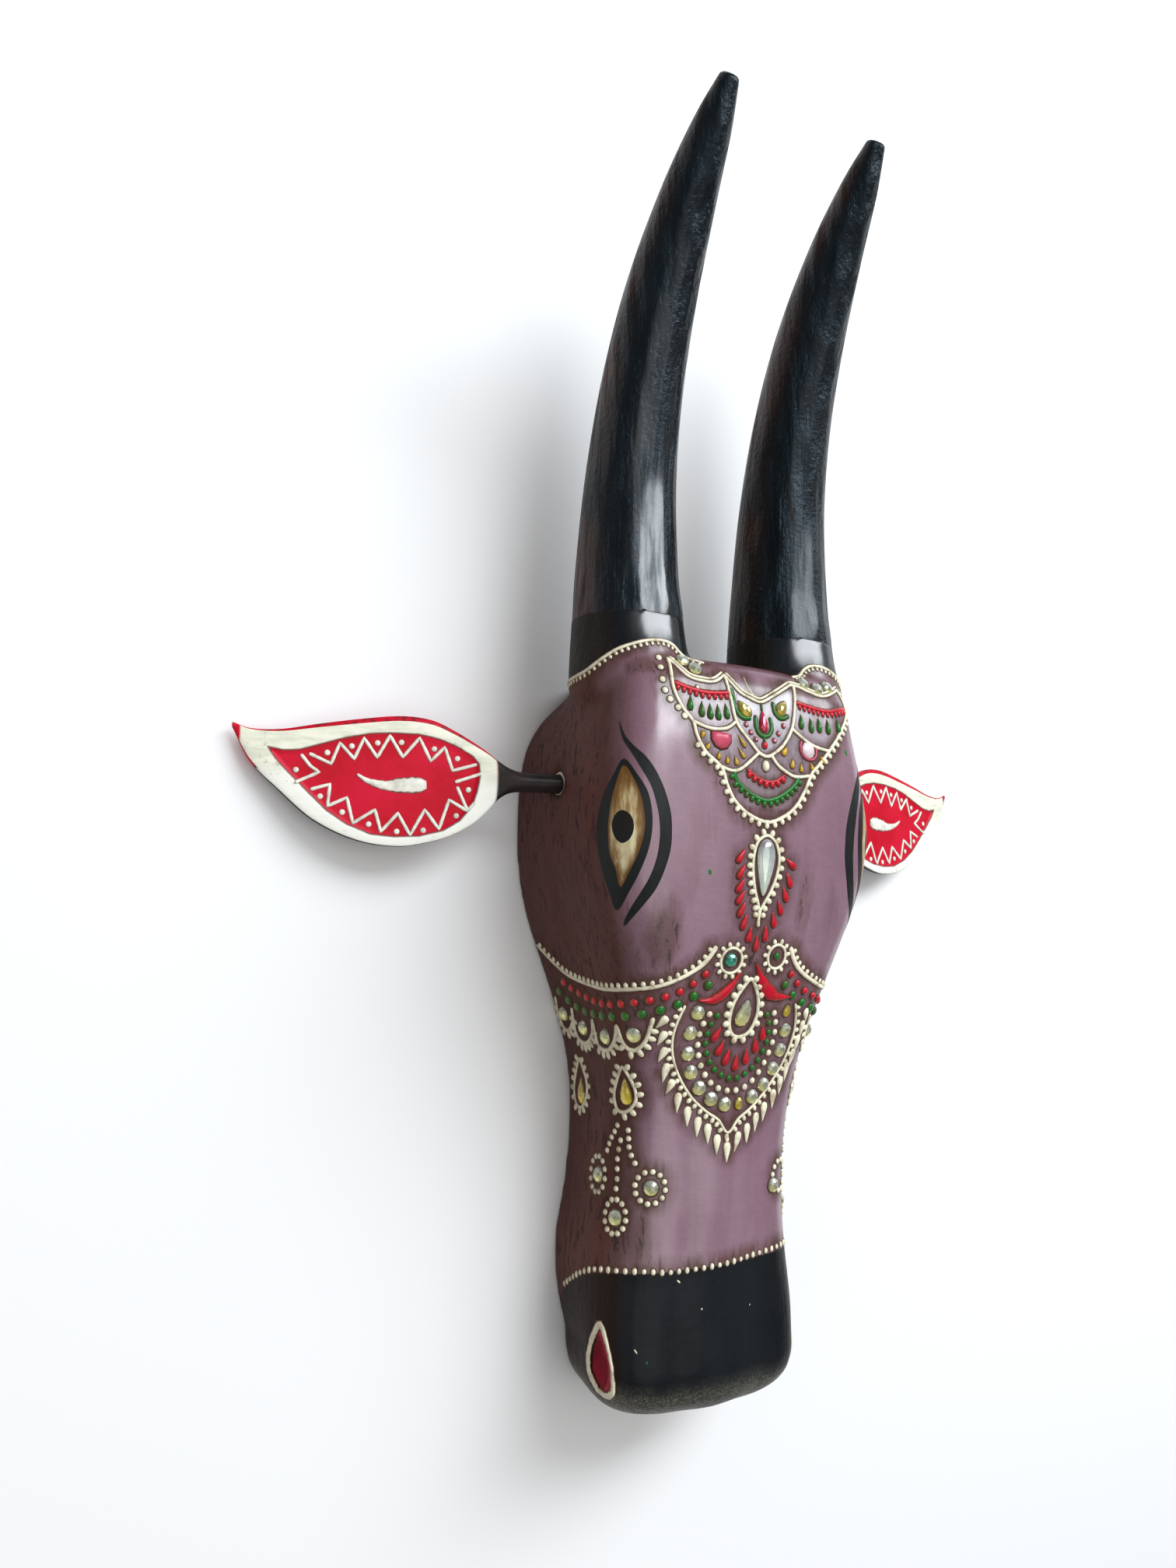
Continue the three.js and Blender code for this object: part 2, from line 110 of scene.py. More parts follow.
# The carved head.
# One block of soft wood, carved with a knife, sanded and painted mauve. The brown wash that was
# rubbed over it stays in the grain and round the ornament. The muzzle and horn bosses are black.
class Shade:
    """A socket of a material, on which + - * / build the material's Math nodes."""

    def __init__(self, material, socket):
        self.material = material
        self.socket = socket

    def maths(self, operation, *values):
        return self.node("ShaderNodeMath", {"operation": operation}, *values)

    def node(self, kind, settings, *values, output=0, **named):
        tree = self.material.node_tree
        made = tree.nodes.new(kind)
        for key, value in settings.items():
            if key == "stops":
                for i, (place, colour) in enumerate(value):
                    stops = made.color_ramp.elements
                    stop = stops[i] if i < 2 else stops.new(place)
                    stop.position = place
                    stop.color = colour
            else:
                setattr(made, key, value)
        sockets = [s for s in made.inputs if s.enabled]
        by_name = {s.name: s for s in sockets}
        fed = list(zip(sockets, values)) + [(by_name[k.replace("_", " ")], v) for k, v in named.items()]
        for socket, value in fed:
            if isinstance(value, Shade):
                tree.links.new(value.socket, socket)
            elif value is not None:
                socket.default_value = value
        if isinstance(output, str):
            shown = [s for s in made.outputs if s.enabled and s.name == output][0]
        else:
            shown = [s for s in made.outputs if s.enabled][output]
        return Shade(self.material, shown)

    def __add__(self, other):
        return self.maths("ADD", self, other)

    def __radd__(self, other):
        return self.maths("ADD", other, self)

    def __sub__(self, other):
        return self.maths("SUBTRACT", self, other)

    def __rsub__(self, other):
        return self.maths("SUBTRACT", other, self)

    def __mul__(self, other):
        return self.maths("MULTIPLY", self, other)

    def __rmul__(self, other):
        return self.maths("MULTIPLY", other, self)

    def __truediv__(self, other):
        return self.maths("DIVIDE", self, other)

    def __pow__(self, other):
        return self.maths("POWER", self, other)

    def step(self, low, high, bottom=0.0, top=1.0):
        settings = {"interpolation_type": "SMOOTHSTEP"}
        return self.node("ShaderNodeMapRange", settings, self, low, high, bottom, top)

    def least(self, other):
        return self.maths("MINIMUM", self, other)

    def most(self, other):
        return self.maths("MAXIMUM", self, other)

    def size(self):
        return self.maths("ABSOLUTE", self)

    def blend(self, first, second):
        """The first colour where this is 0 and the second where it is 1."""
        colours = [c if isinstance(c, Shade) else (*c, 1) for c in (first, second)]
        return self.node("ShaderNodeMix", {"data_type": "RGBA"}, self, *colours)


def new_paint(name, colour, roughness, coat=0.0, coat_roughness=0.1, sheen=0.25):
    """A painted finish, the place on its piece, and its shader."""
    material = bpy.data.materials.new(name)
    material.use_nodes = True
    shader = material.node_tree.nodes["Principled BSDF"]
    shader.inputs["Base Color"].default_value = (*colour, 1)
    shader.inputs["Roughness"].default_value = roughness
    shader.inputs["Specular IOR Level"].default_value = sheen
    shader.inputs["Coat Weight"].default_value = coat
    shader.inputs["Coat Roughness"].default_value = coat_roughness
    material.diffuse_color = (*colour, 1)
    place = Shade(material, None).node("ShaderNodeTexCoord", {}, output="Object")
    return material, place, shader


def feed(shader, name, shade):
    shade.material.node_tree.links.new(shade.socket, shader.inputs[name])


def stretched(place, along, across=1.0, shift=0.0):
    """The place with its Y squeezed, so that a pattern runs along the head."""
    return place.node("ShaderNodeMapping", {}, place, (shift, shift, 0), (0, 0, 0), (across, along, across))


def mark(place, name):
    return place.node("ShaderNodeAttribute", {"attribute_name": name}, output="Fac")


def speckle(place, scale, detail=3.0, roughness=0.55):
    settings = {"noise_dimensions": "3D"}
    return place.node("ShaderNodeTexNoise", settings, place, Scale=scale, Detail=detail, Roughness=roughness)


def part_of(vector, axis):
    """The X, Y or Z of a place or a direction, for axis 0, 1 or 2."""
    return vector.node("ShaderNodeSeparateXYZ", {}, vector, output=axis)


def faced(place, axis):
    """How far the surface faces along an axis, from -1 to 1."""
    return part_of(place.node("ShaderNodeNewGeometry", {}, output="Normal"), axis)


def bump(shader, height, strength, distance):
    made = height.node("ShaderNodeBump", {}, Strength=strength, Distance=distance, Height=height)
    feed(shader, "Normal", made)


def clamp(value):
    return min(max(value, 0), 1)


def pick(piece):
    """Makes a piece active, and alone in the selection."""
    bpy.ops.object.select_all(action="DESELECT")
    piece.select_set(True)
    bpy.context.view_layer.objects.active = piece


def mend(piece, merge=0.0, outwards=False):
    """Merges corners that lie within a distance in metres, or turns all faces outwards."""
    pick(piece)
    bpy.ops.object.mode_set(mode="EDIT")
    bpy.ops.mesh.select_all(action="SELECT")
    if merge:
        bpy.ops.mesh.remove_doubles(threshold=merge)
    if outwards:
        bpy.ops.mesh.normals_make_consistent(inside=False)
    bpy.ops.object.mode_set(mode="OBJECT")


def copy_of_node(node, name):
    """A merged copy of a CAD node's mesh as a new object."""
    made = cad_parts[node].copy()
    made.data = made.data.copy()
    made.name = name
    made.parent = None
    for key in list(made.keys()):
        del made[key]
    bpy.context.scene.collection.objects.link(made)
    made.data.materials.clear()
    mend(made, 0.00002)
    return made


def apply_modifiers(piece):
    pick(piece)
    for modifier in list(piece.modifiers):
        bpy.ops.object.modifier_apply(modifier=modifier.name)


def sand(piece, weigh, strokes, inwards=True):
    """Smooths a mesh by the weight, from 0 to 1, that a function gives to each place."""
    group = piece.vertex_groups.new(name="sanded")
    for vertex in piece.data.vertices:
        weight = weigh(vertex.co)
        if weight > 0:
            group.add([vertex.index], weight, "REPLACE")
    sanding = piece.modifiers.new("sanding", "SMOOTH")
    sanding.factor = 0.5
    sanding.iterations = strokes
    sanding.use_z = inwards
    sanding.vertex_group = "sanded"
    apply_modifiers(piece)
    piece.vertex_groups.clear()


back_height = 0.001
joint_height = 0.1485
hem_height = 0.008


def off_the_back(place):
    return clamp((place.z - back_height) / 0.006) * clamp((joint_height - place.y) / 0.004)


def near_the_back(place):
    return 1 - place.z / hem_height


carved_head = copy_of_node("head", "carved_head")
remesh = carved_head.modifiers.new("knife work", "REMESH")
remesh.mode = "VOXEL"
remesh.voxel_size = 0.0016
remesh.use_smooth_shade = True
apply_modifiers(carved_head)

sand(carved_head, off_the_back, 22)
sand(carved_head, near_the_back, 40, inwards=False)
rays_height = 0.03
rays_in_half = 132
head_tree = BVHTree.FromObject(carved_head, bpy.context.evaluated_depsgraph_get())
outlines = {}


def outline_at(height):
    """Half outlines round the face at a height in whole millimetres, as running lengths and rays."""
    if height not in outlines:
        centre = Vector((0, height / 1000, rays_height))
        both = []
        for side in (-1, 1):
            row = []
            length = 0.0
            last = None
            for i in range(rays_in_half):
                turn = math.radians(i)
                ray = Vector((side * math.sin(turn), 0, math.cos(turn)))
                hit, _, _, _ = head_tree.ray_cast(centre + ray * 0.2, -ray)
                if hit is None:
                    break
                if last is not None:
                    length += (hit - last).length * 1000
                row.append((length, hit))
                last = hit
            both.append(row)
        outlines[height] = both
    return outlines[height]


def on_head(around, y, lift=0.0):
    """The point and outward direction at a height, a distance round the face from its middle."""
    low = math.floor(y)
    spots = []
    for height in (low, low + 1):
        row = outline_at(height)[0 if around < 0 else 1]
        wanted = abs(around)
        i = 0
        while i < len(row) - 2 and row[i + 1][0] < wanted:
            i += 1
        share = (wanted - row[i][0]) / max(row[i + 1][0] - row[i][0], 1e-6)
        spots.append(row[i][1].lerp(row[i + 1][1], share))
    spot = spots[0].lerp(spots[1], y - low)
    return nearest(spot, lift)


normal_reach = 0.0022
normal_fade = 0.0025
least_share = 0.0003


def nearest(spot, lift=0.0):
    """The nearest point of the head to a place in metres, lifted in millimetres, and its normal."""
    found, _, _, _ = head_tree.find_nearest(spot)
    normal = Vector((0, 0, 0))
    for _, direction, _, distance in head_tree.find_nearest_range(found, normal_reach):
        normal += direction * max(normal_fade - distance, least_share)
    normal.normalize()
    return found + normal * lift / 1000, normal


mauve, place, shader = new_paint("mauve paint", (0.26, 0.15, 0.20), 0.45, 0.6, 0.21, 0.08)
shader.inputs["Coat IOR"].default_value = 1.8
x, y, z = [part_of(place, axis) for axis in range(3)]
wash = mark(place, "wash")
boss = mark(place, "boss")
lining = mark(place, "lining")
tint = mark(place, "tint")
smear = mark(place, "smear")
downwards = 0 - faced(place, 1)
facing = faced(place, 2)
grain = speckle(stretched(place, 0.09), 260, 5, 0.65)
cloud = speckle(stretched(place, 0.5), 22, 4, 0.6)
streak = speckle(stretched(place, 0.06, shift=0.3), 95, 4, 0.7)
pores = speckle(stretched(place, 0.22, shift=0.7), 430, 3, 0.6)
# Where the surface turns away from the front the paint is dark brown: partly the brown wash on the real
# sides, partly painted shade. The black paint turns brown-black there too.
side_shade = 1 - (facing + 0.12 * (cloud - 0.5) + 0.14 * (streak - 0.5)).step(0.24, 0.93)
front_colour = cloud.step(0.35, 0.65).blend((0.210, 0.109, 0.148), (0.26, 0.149, 0.196))
front_colour = streak.step(0.52, 0.78, 0, 0.4).blend(front_colour, (0.17, 0.085, 0.105))
# The crown panel's shield, and more weakly its cells, are painted silvery lavender: a painted reflection of
# the lamp.
painted_shield_sheen = streak.step(0.4, 0.6).blend((0.38, 0.36, 0.42), (0.66, 0.65, 0.71))
front_colour = (tint * 0.85).blend(front_colour, painted_shield_sheen)
brown = cloud.step(0.3, 0.7).blend((0.052, 0.015, 0.008), (0.094, 0.030, 0.017))
brown = streak.step(0.35, 0.65).blend(brown, (0.068, 0.027, 0.021))
smears = (smear + 0.9 * (cloud - 0.5) + 1.1 * (streak - 0.5)).step(0.32, 1.0)
washed = (wash * (0.55 + 0.65 * streak.step(0.35, 0.6))).most(0.7 * smears)
wash_colour = cloud.step(0.35, 0.7).blend((0.065, 0.026, 0.018), (0.12, 0.052, 0.044))
paint_colour = (washed * 1.1 * (1 - 0.55 * tint)).least(0.92).blend(front_colour, wash_colour)
paint_colour = (side_shade ** 0.85 * 0.93).blend(paint_colour, brown)
where = (side_shade * 0.9 + wash * 0.6 + smears).least(1.0) * (0.35 + 0.65 * cloud.step(0.42, 0.56))
specks = pores.step(0.56, 0.61) * where
paint_colour = (specks * 0.8).blend(paint_colour, (0.022, 0.008, 0.007))
muzzle_line = -0.1425 - 0.016 * ((0.06 - z).most(0) / 0.047) ** 2 + 0.03 * x
muzzle = (muzzle_line - y).step(-0.0004, 0.0004)
black_colour = cloud.step(0.35, 0.7).blend((0.0045, 0.006, 0.0075), (0.009, 0.0115, 0.014))
black_side = cloud.step(0.3, 0.7).blend((0.011, 0.005, 0.003), (0.017, 0.0085, 0.0055))
black_side = boss.blend(black_side, (0.012, 0.0085, 0.0065))
black_colour = side_shade.step(0.1, 0.7).blend(black_colour, black_side)
# Towards the bottom of the muzzle, where it turns downwards, the black is painted pale and grainy: painted
# light from the floor.
grit = speckle(place, 900, 2, 0.5).step(0.4, 0.65)
painted_floor_light = (downwards + 0.35 * (cloud - 0.5)).step(0.08, 0.5) * (-0.17 - y).step(0, 0.014)
painted_floor_light = painted_floor_light * (0.35 + 0.65 * grit) * (0.075 - x.size()).step(0, 0.03)
black_colour = (painted_floor_light * 0.8).blend(black_colour, (0.13, 0.125, 0.10))
colour = (muzzle.most(boss)).blend(paint_colour, black_colour)
crimson = cloud.step(0.4, 0.6).blend((0.16, 0.004, 0.012), (0.27, 0.012, 0.028))
feed(shader, "Base Color", lining.step(0.3, 0.7).blend(colour, crimson))
feed(shader, "Roughness", 0.42 + 0.12 * cloud + 0.1 * streak.step(0.5, 0.7) - 0.10 * muzzle.most(boss))
gloss = (1 - side_shade) * (0.55 + 0.6 * cloud) * (1 - 0.5 * washed)
gloss = gloss * (1 - 0.85 * boss * facing.step(0.76, 0.95, 1, 0))
feed(shader, "Coat Weight", gloss * (1 - 0.93 * muzzle))
ripple = speckle(stretched(place, 1.8), 150, 3, 0.6)
bump(shader, 0.6 * grain + 1.4 * streak + 1.2 * cloud + 1.1 * ripple - 0.8 * specks, 0.55, 0.0007)
carved_head.data.materials.append(mauve)
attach(carved_head, "root")
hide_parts("head")


# The horns.
# Each is carved from its own piece of wood, fixed on a boss of the head, and painted satin
# black. The knife's long flats still show under the paint.

# The distance across, up and out, and the radius, in millimetres.
horn_line = [
    (45.6, 148.3, 54.8, 26.4),
    (45.6, 152, 54.8, 26.2),
    (46, 172.6, 54, 24.6),
    (46, 217.8, 56.6, 21.9),
    (45.7, 261.4, 65.4, 19.7),
    (45.2, 301.7, 80.2, 17.3),
    (44.5, 338, 100.2, 13.6),
    (44, 364, 118.5, 9.4),
    (43.6, 380, 130.6, 5),
]
blunt_tip = ((1.3, 4.6), (2.2, 3.5), (2.5, 2.2))


def smooth_line(points, step):
    """Points along a smooth line through some points, a step apart, whatever they hold."""
    rows = [Vector(p) for p in points]
    dense = []
    for i in range(len(rows) - 1):
        before = rows[max(i - 1, 0)]
        start = rows[i]
        end = rows[i + 1]
        after = rows[min(i + 2, len(rows) - 1)]
        for k in range(12):
            t = k / 12
            a = 2 * start
            b = end - before
            c = 2 * before - 5 * start + 4 * end - after
            d = 3 * (start - end) + after - before
            dense.append(0.5 * (a + b * t + c * t * t + d * t ** 3))
    dense.append(rows[-1])
    return evenly(dense, step)


def evenly(dense, step):
    """Points the same length apart along a line, its two ends among them."""
    lengths = [0.0]
    for a, b in zip(dense, dense[1:]):
        lengths.append(lengths[-1] + (b - a).length)
    count = max(int(round(lengths[-1] / step)), 1)
    made = []
    i = 0
    for k in range(count + 1):
        wanted = lengths[-1] * k / count
        while i < len(dense) - 2 and lengths[i + 1] < wanted:
            i += 1
        share = (wanted - lengths[i]) / max(lengths[i + 1] - lengths[i], 1e-9)
        made.append(dense[i].lerp(dense[i + 1], clamp(share)))
    return made


def rod(name, points, radii, sides=4):
    """A round rod through points in metres, as a mesh with closed ends."""
    data = bpy.data.curves.new(name, "CURVE")
    data.dimensions = "3D"
    data.bevel_depth = 1.0
    data.bevel_resolution = sides
    data.use_fill_caps = True
    spline = data.splines.new("POLY")
    spline.points.add(len(points) - 1)
    for knot, point, radius in zip(spline.points, points, radii):
        knot.co = (*point, 1)
        knot.radius = radius
    pick(new_object(name, data))
    bpy.ops.object.convert(target="MESH")
    made = bpy.context.object
    mend(made, 0.00001, outwards=True)
    bpy.ops.object.shade_smooth_by_angle(angle=math.radians(50))
    return made


horn_black, place, shader = new_paint("horn black", (0.009, 0.010, 0.012), 0.3, 0.5, 0.12, 0.16)
shader.inputs["Specular Tint"].default_value = (0.5, 0.78, 1.0, 1)
shader.inputs["Coat IOR"].default_value = 1.6
x = part_of(place, 0)
y = part_of(place, 1)
facing = faced(place, 2)
cells = {"feature": "SMOOTH_F1"}
flats = place.node("ShaderNodeTexVoronoi", cells, stretched(place, 0.3), Scale=110, Smoothness=0.5)
tools = speckle(stretched(place, 0.12), 160, 4, 0.6)
grit = speckle(place, 420, 3, 0.6)
worn = speckle(place, 26, 3, 0.6)
horn_colour = worn.step(0.4, 0.7).blend((0.0035, 0.0048, 0.006), (0.006, 0.008, 0.0095))
# The horn is painted brown where it turns away from the front.
horn_side = worn.step(0.35, 0.65).blend((0.040, 0.014, 0.006), (0.009, 0.006, 0.004))
horn_colour = facing.step(0.05, 0.7, 1, 0).blend(horn_colour, horn_side)
horn_colour = (grit.step(0.72, 0.78) * worn.step(0.5, 0.62) * 0.6).blend(horn_colour, (0.35, 0.36, 0.36))
feed(shader, "Base Color", horn_colour)
feed(shader, "Roughness", 0.16 + 0.2 * worn + 0.12 * tools)
shine = facing.step(0.76, 0.95, 0.12, 1) * tools.step(0.35, 0.6, 0.3, 1)
shine = shine * (0.40 - y).step(0, 0.26, 0.12, 1) * x.step(-0.02, 0.02, 1, 0.4)
feed(shader, "Coat Weight", shine)
bump(shader, 2.0 * flats + 1.4 * tools + 0.5 * grit, 0.75, 0.0018)

for side, which in ((-1, "left"), (1, "right")):
    rows = smooth_line([(side * p[0], *p[1:]) for p in horn_line], 4)
    points = [Vector(r[:3]) / 1000 for r in rows]
    radii = [r[3] / 1000 for r in rows]
    forward = (points[-1] - points[-2]).normalized()
    for ahead, radius in blunt_tip:
        points.append(points[len(rows) - 1] + forward * ahead / 1000)
        radii.append(radius / 1000)
    horn = rod("carved_horn_" + which, points, radii, 14)
    horn.data.materials.append(horn_black)
    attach(horn, "root")
    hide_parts("horn_" + which)


# The ears.
# Each is a leaf carved from thin wood on a round stem, plugged into the side of the head with
# white glue. The front is gloss red inside a raised cream rim, and the back and stem are black.
ear_middle = 40.0
ear_level = 72
ear_start = 73.5
ear_sweep = 0.25
ear_sides = 72
ring_gap = 0.9
ring_count = 166
field_depth = 0.9
field_slope = 1.2

# The distance from the middle of the head, the top, the bottom, the thickness in front and behind,
# and the shape of the section, where 1 is round and less is boxy.
ear_rows = [
    (65, 76.6, 67.4, 4.6, 4.6, 1),
    (90, 76.6, 67.4, 4.6, 4.6, 1),
    (96, 78.2, 66.4, 4.2, 5, 1),
    (101, 81.2, 63, 3.4, 5.6, 0.8),
    (106, 85, 57.2, 2.6, 6.2, 0.55),
    (112, 88.8, 51.6, 2.4, 6.4, 0.45),
    (121, 93.8, 46.2, 2.4, 6.2, 0.4),
    (131, 98, 42.7, 2.4, 5.8, 0.4),
    (144, 99, 40.4, 2.4, 5.2, 0.4),
    (161.5, 96.6, 42.5, 2.3, 4.6, 0.4),
    (180, 93, 50.8, 2.2, 3.8, 0.4),
    (195, 89.8, 63.6, 2, 3, 0.45),
    (207, 89.4, 75.6, 1.6, 2.2, 0.6),
    (214.3, 91.6, 89.4, 0.8, 1, 1),
]

# The edge of the red field, across and up.
ear_field = [
    (200, 81.5), (194, 80.3), (187, 81), (177, 84.6), (168, 87.6), (158, 90), (147.5, 91), (137, 91),
    (128, 89.3), (120, 86.3), (113, 82.5), (110.3, 79), (109.6, 74), (110.6, 66.5), (112.8, 59.5),
    (118, 53), (125, 48.3), (135.5, 45.4), (146, 44.6), (156, 45.4), (166.5, 49.5), (175, 55),
    (183, 62.6), (191.5, 71), (197, 77),
]


def inside_depth(outline, x, y):
    """How far a place lies inside a closed outline, less than nothing when it is outside."""
    nearest_edge = 1e9
    inside = False
    for i in range(len(outline)):
        ax, ay = outline[i - 1]
        bx, by = outline[i]
        run = (bx - ax, by - ay)
        share = ((x - ax) * run[0] + (y - ay) * run[1]) / (run[0] ** 2 + run[1] ** 2)
        share = clamp(share)
        nearest_edge = min(nearest_edge, math.hypot(x - ax - share * run[0], y - ay - share * run[1]))
        if (ay > y) != (by > y) and x < ax + (y - ay) / (by - ay) * run[0]:
            inside = not inside
    return nearest_edge if inside else -nearest_edge


def smooth_loop(points, step):
    """Points a step apart along a smooth closed line through some points."""
    rows = [Vector(p) for p in points]
    made = smooth_line(rows[-3:] + rows + rows[:3], step / 4)
    start = min(range(len(made) // 3), key=lambda i: (made[i] - rows[0]).length)
    end = min(range(len(made) // 2, len(made)), key=lambda i: (made[i] - rows[0]).length)
    return evenly(made[start:end + 1], step)[:-1]


ear_paint, place, shader = new_paint("ear paint", (0.55, 0.0, 0.02), 0.3, 0.05, 0.12, 0.12)
x = part_of(place, 0)
y = part_of(place, 1)
depth_in = mark(place, "field")
front = mark(place, "front")
brush = speckle(stretched(place, 5.0), 60, 4, 0.65)
mottle = speckle(place, 40, 4, 0.6)
fine = speckle(place, 380, 3, 0.6)
red_colour = mottle.step(0.35, 0.7).blend((0.50, 0.001, 0.014), (0.62, 0.004, 0.03))
red_colour = (fine.step(0.62, 0.74) * 0.25).blend(red_colour, (0.25, 0.0, 0.01))
cream_colour = brush.step(0.35, 0.7).blend((0.86, 0.84, 0.70), (0.66, 0.67, 0.54))
# The lower part of the rim is painted whiter than the upper: a painted highlight.
cream_colour = (0.078 - y).step(0, 0.012, 0, 0.8).blend(cream_colour, (0.93, 0.93, 0.87))
cream_colour = (fine.step(0.6, 0.7) * mottle.step(0.45, 0.6) * 0.5).blend(cream_colour, (0.33, 0.26, 0.13))
wobble = 0.7 * (mottle - 0.5) + 0.3 * (fine - 0.5)
rim_line = (depth_in + wobble).step(-0.25, 0.25)
outline_dark = 1 - (depth_in + wobble).size().step(0.25, 0.6)
black_back = mottle.step(0.3, 0.7).blend((0.012, 0.011, 0.011), (0.03, 0.02, 0.016))
front_colour = rim_line.blend(cream_colour, red_colour)
front_colour = (outline_dark * 0.7).blend(front_colour, (0.09, 0.02, 0.015))
root = (x.size() - 0.1015).step(0, 0.0015)
tip = (0.2118 - x.size()).step(0, 0.001)
top_edge = (y - 0.072).step(0, 0.002) * root * (1 - 0.6 * fine.step(0.5, 0.6))
side_colour = top_edge.blend(black_back, red_colour)
ear_colour = (front.step(0.4, 0.6) * root * tip).blend(side_colour, front_colour)
feed(shader, "Base Color", ear_colour)
feed(shader, "Roughness", 0.26 + 0.2 * mottle + 0.18 * (1 - front))
bump(shader, 0.8 * brush + 0.5 * fine + mottle, 0.35, 0.0006)


def ear_ring(distance, sides):
    """One ring of an ear, at a distance from the middle of the head in millimetres."""
    i = 0
    while i < len(ear_rows) - 2 and ear_rows[i + 1][0] < distance:
        i += 1
    before = ear_rows[max(i - 1, 0)]
    after = ear_rows[min(i + 2, len(ear_rows) - 1)]
    low = ear_rows[i]
    high = ear_rows[i + 1]
    span = high[0] - low[0]
    t = (distance - low[0]) / span
    values = []
    for k in range(1, 6):
        start_slope = (high[k] - before[k]) / (high[0] - before[0])
        end_slope = (after[k] - low[k]) / (after[0] - low[0])
        values.append(
            (2 * t ** 3 - 3 * t ** 2 + 1) * low[k] + (t ** 3 - 2 * t ** 2 + t) * span * start_slope
            + (3 * t ** 2 - 2 * t ** 3) * high[k] + (t ** 3 - t ** 2) * span * end_slope
        )
    top, bottom, ahead, behind, blunt = values
    middle = ear_middle - ear_sweep * (distance - ear_start)
    ring = []
    for k in range(sides):
        turn = 2 * math.pi * k / sides
        rise = math.sin(turn)
        thick = math.copysign(abs(rise) ** blunt, rise) * (ahead if rise > 0 else behind)
        ring.append(((top + bottom) / 2 + (top - bottom) / 2 * math.cos(turn), middle + thick, rise))
    return ring


def bands(rings, around, closed=True, joined=False):
    """Faces between rings of corners. Each ring may be closed, and the last joined to the first."""
    faces = []
    for ring in range(rings if joined else rings - 1):
        low = ring * around
        high = (ring + 1) % rings * around
        for k in range(around if closed else around - 1):
            after = (k + 1) % around
            faces.append((low + k, low + after, high + after, high + k))
    return faces


def new_piece(name, corners, faces, **values):
    """A new mesh, with one number at each corner under each name."""
    data = bpy.data.meshes.new(name)
    data.from_pydata(corners, [], faces)
    for key, numbers in values.items():
        data.attributes.new(key, "FLOAT", "POINT").data.foreach_set("value", numbers)
    return new_object(name, data)


for side, which in ((-1, "left"), (1, "right")):
    steps = [ear_rows[0][0] + ring_gap * i for i in range(ring_count)] + [ear_rows[-1][0]]
    corners = []
    fields = []
    fronts = []
    for distance in steps:
        for across, out, rise in ear_ring(distance, ear_sides):
            inner = inside_depth(ear_field, distance, across)
            sunk = field_depth * clamp(inner / field_slope) if rise > 0 else 0
            corners.append((side * distance / 1000, across / 1000, (out - sunk) / 1000))
            fields.append(inner)
            edge = 0.40 if across > ear_level else 0.12
            fronts.append(clamp((rise - edge) / 0.1 + 0.5))
    ends = [tuple(range(ear_sides)), tuple(range(len(corners) - ear_sides, len(corners)))]
    faces = ends + bands(len(steps), ear_sides)
    ear = new_piece("carved_ear_" + which, corners, faces, field=fields, front=fronts)
    mend(ear, outwards=True)
    bpy.ops.object.shade_smooth_by_angle(angle=math.radians(40))
    ear.data.materials.append(ear_paint)
    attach(ear, "root")
    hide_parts("ear_" + which)


# The crown panel.
# Thick cream paint is laid on in lines and dots from a fine cone, and the gaps are filled with
# red, green, yellow, pink and white drops. Brown wash stays in the corner round each of them.
def new_relief_paint(name, colour, worn, roughness=0.3):
    paint, place, shader = new_paint(name, colour, roughness, 0.25, 0.12)
    rise = mark(place, "rise")
    cloud = speckle(place, 190, 3, 0.6)
    fine = speckle(place, 900, 2, 0.6)
    tint = cloud.step(0.35, 0.7).blend(colour, [0.75 * c for c in colour])
    # Each dot and line is darker towards its foot, where it meets the head.
    foot_darkening = (1 - rise.step(0.05, 0.45)) * (0.25 + 0.75 * cloud.step(0.35, 0.6))
    tint = (foot_darkening * 0.75).blend(tint, (0.07, 0.028, 0.018))
    tint = (cloud.step(0.56, 0.68) * worn).blend(tint, (0.33, 0.20, 0.07))
    # Where a dot or line turns away from the front it is painted darker brown: partly brown wash, partly
    # painted shade.
    tint = faced(place, 2).step(0.35, 0.95, 0.45, 0).blend(tint, (0.16, 0.085, 0.035))
    feed(shader, "Base Color", tint)
    feed(shader, "Roughness", roughness - 0.06 + 0.18 * cloud)
    bump(shader, cloud + 0.4 * fine, 0.3, 0.0004)
    return paint


relief_paints = {
    "cream": new_relief_paint("cream paint", (0.90, 0.85, 0.64), 0.45, 0.38),
    "red": new_relief_paint("red dot paint", (0.56, 0.0, 0.018), 0.1),
    "green": new_relief_paint("green dot paint", (0.0, 0.155, 0.012), 0.08),
    "yellow": new_relief_paint("yellow dot paint", (0.60, 0.36, 0.015), 0.12),
    "pink": new_relief_paint("pink dot paint", (0.56, 0.06, 0.12), 0.1),
    "white": new_relief_paint("white dot paint", (0.80, 0.66, 0.68), 0.2),
    "edge": new_relief_paint("brown wash", (0.055, 0.024, 0.017), 0.1, 0.55),
}


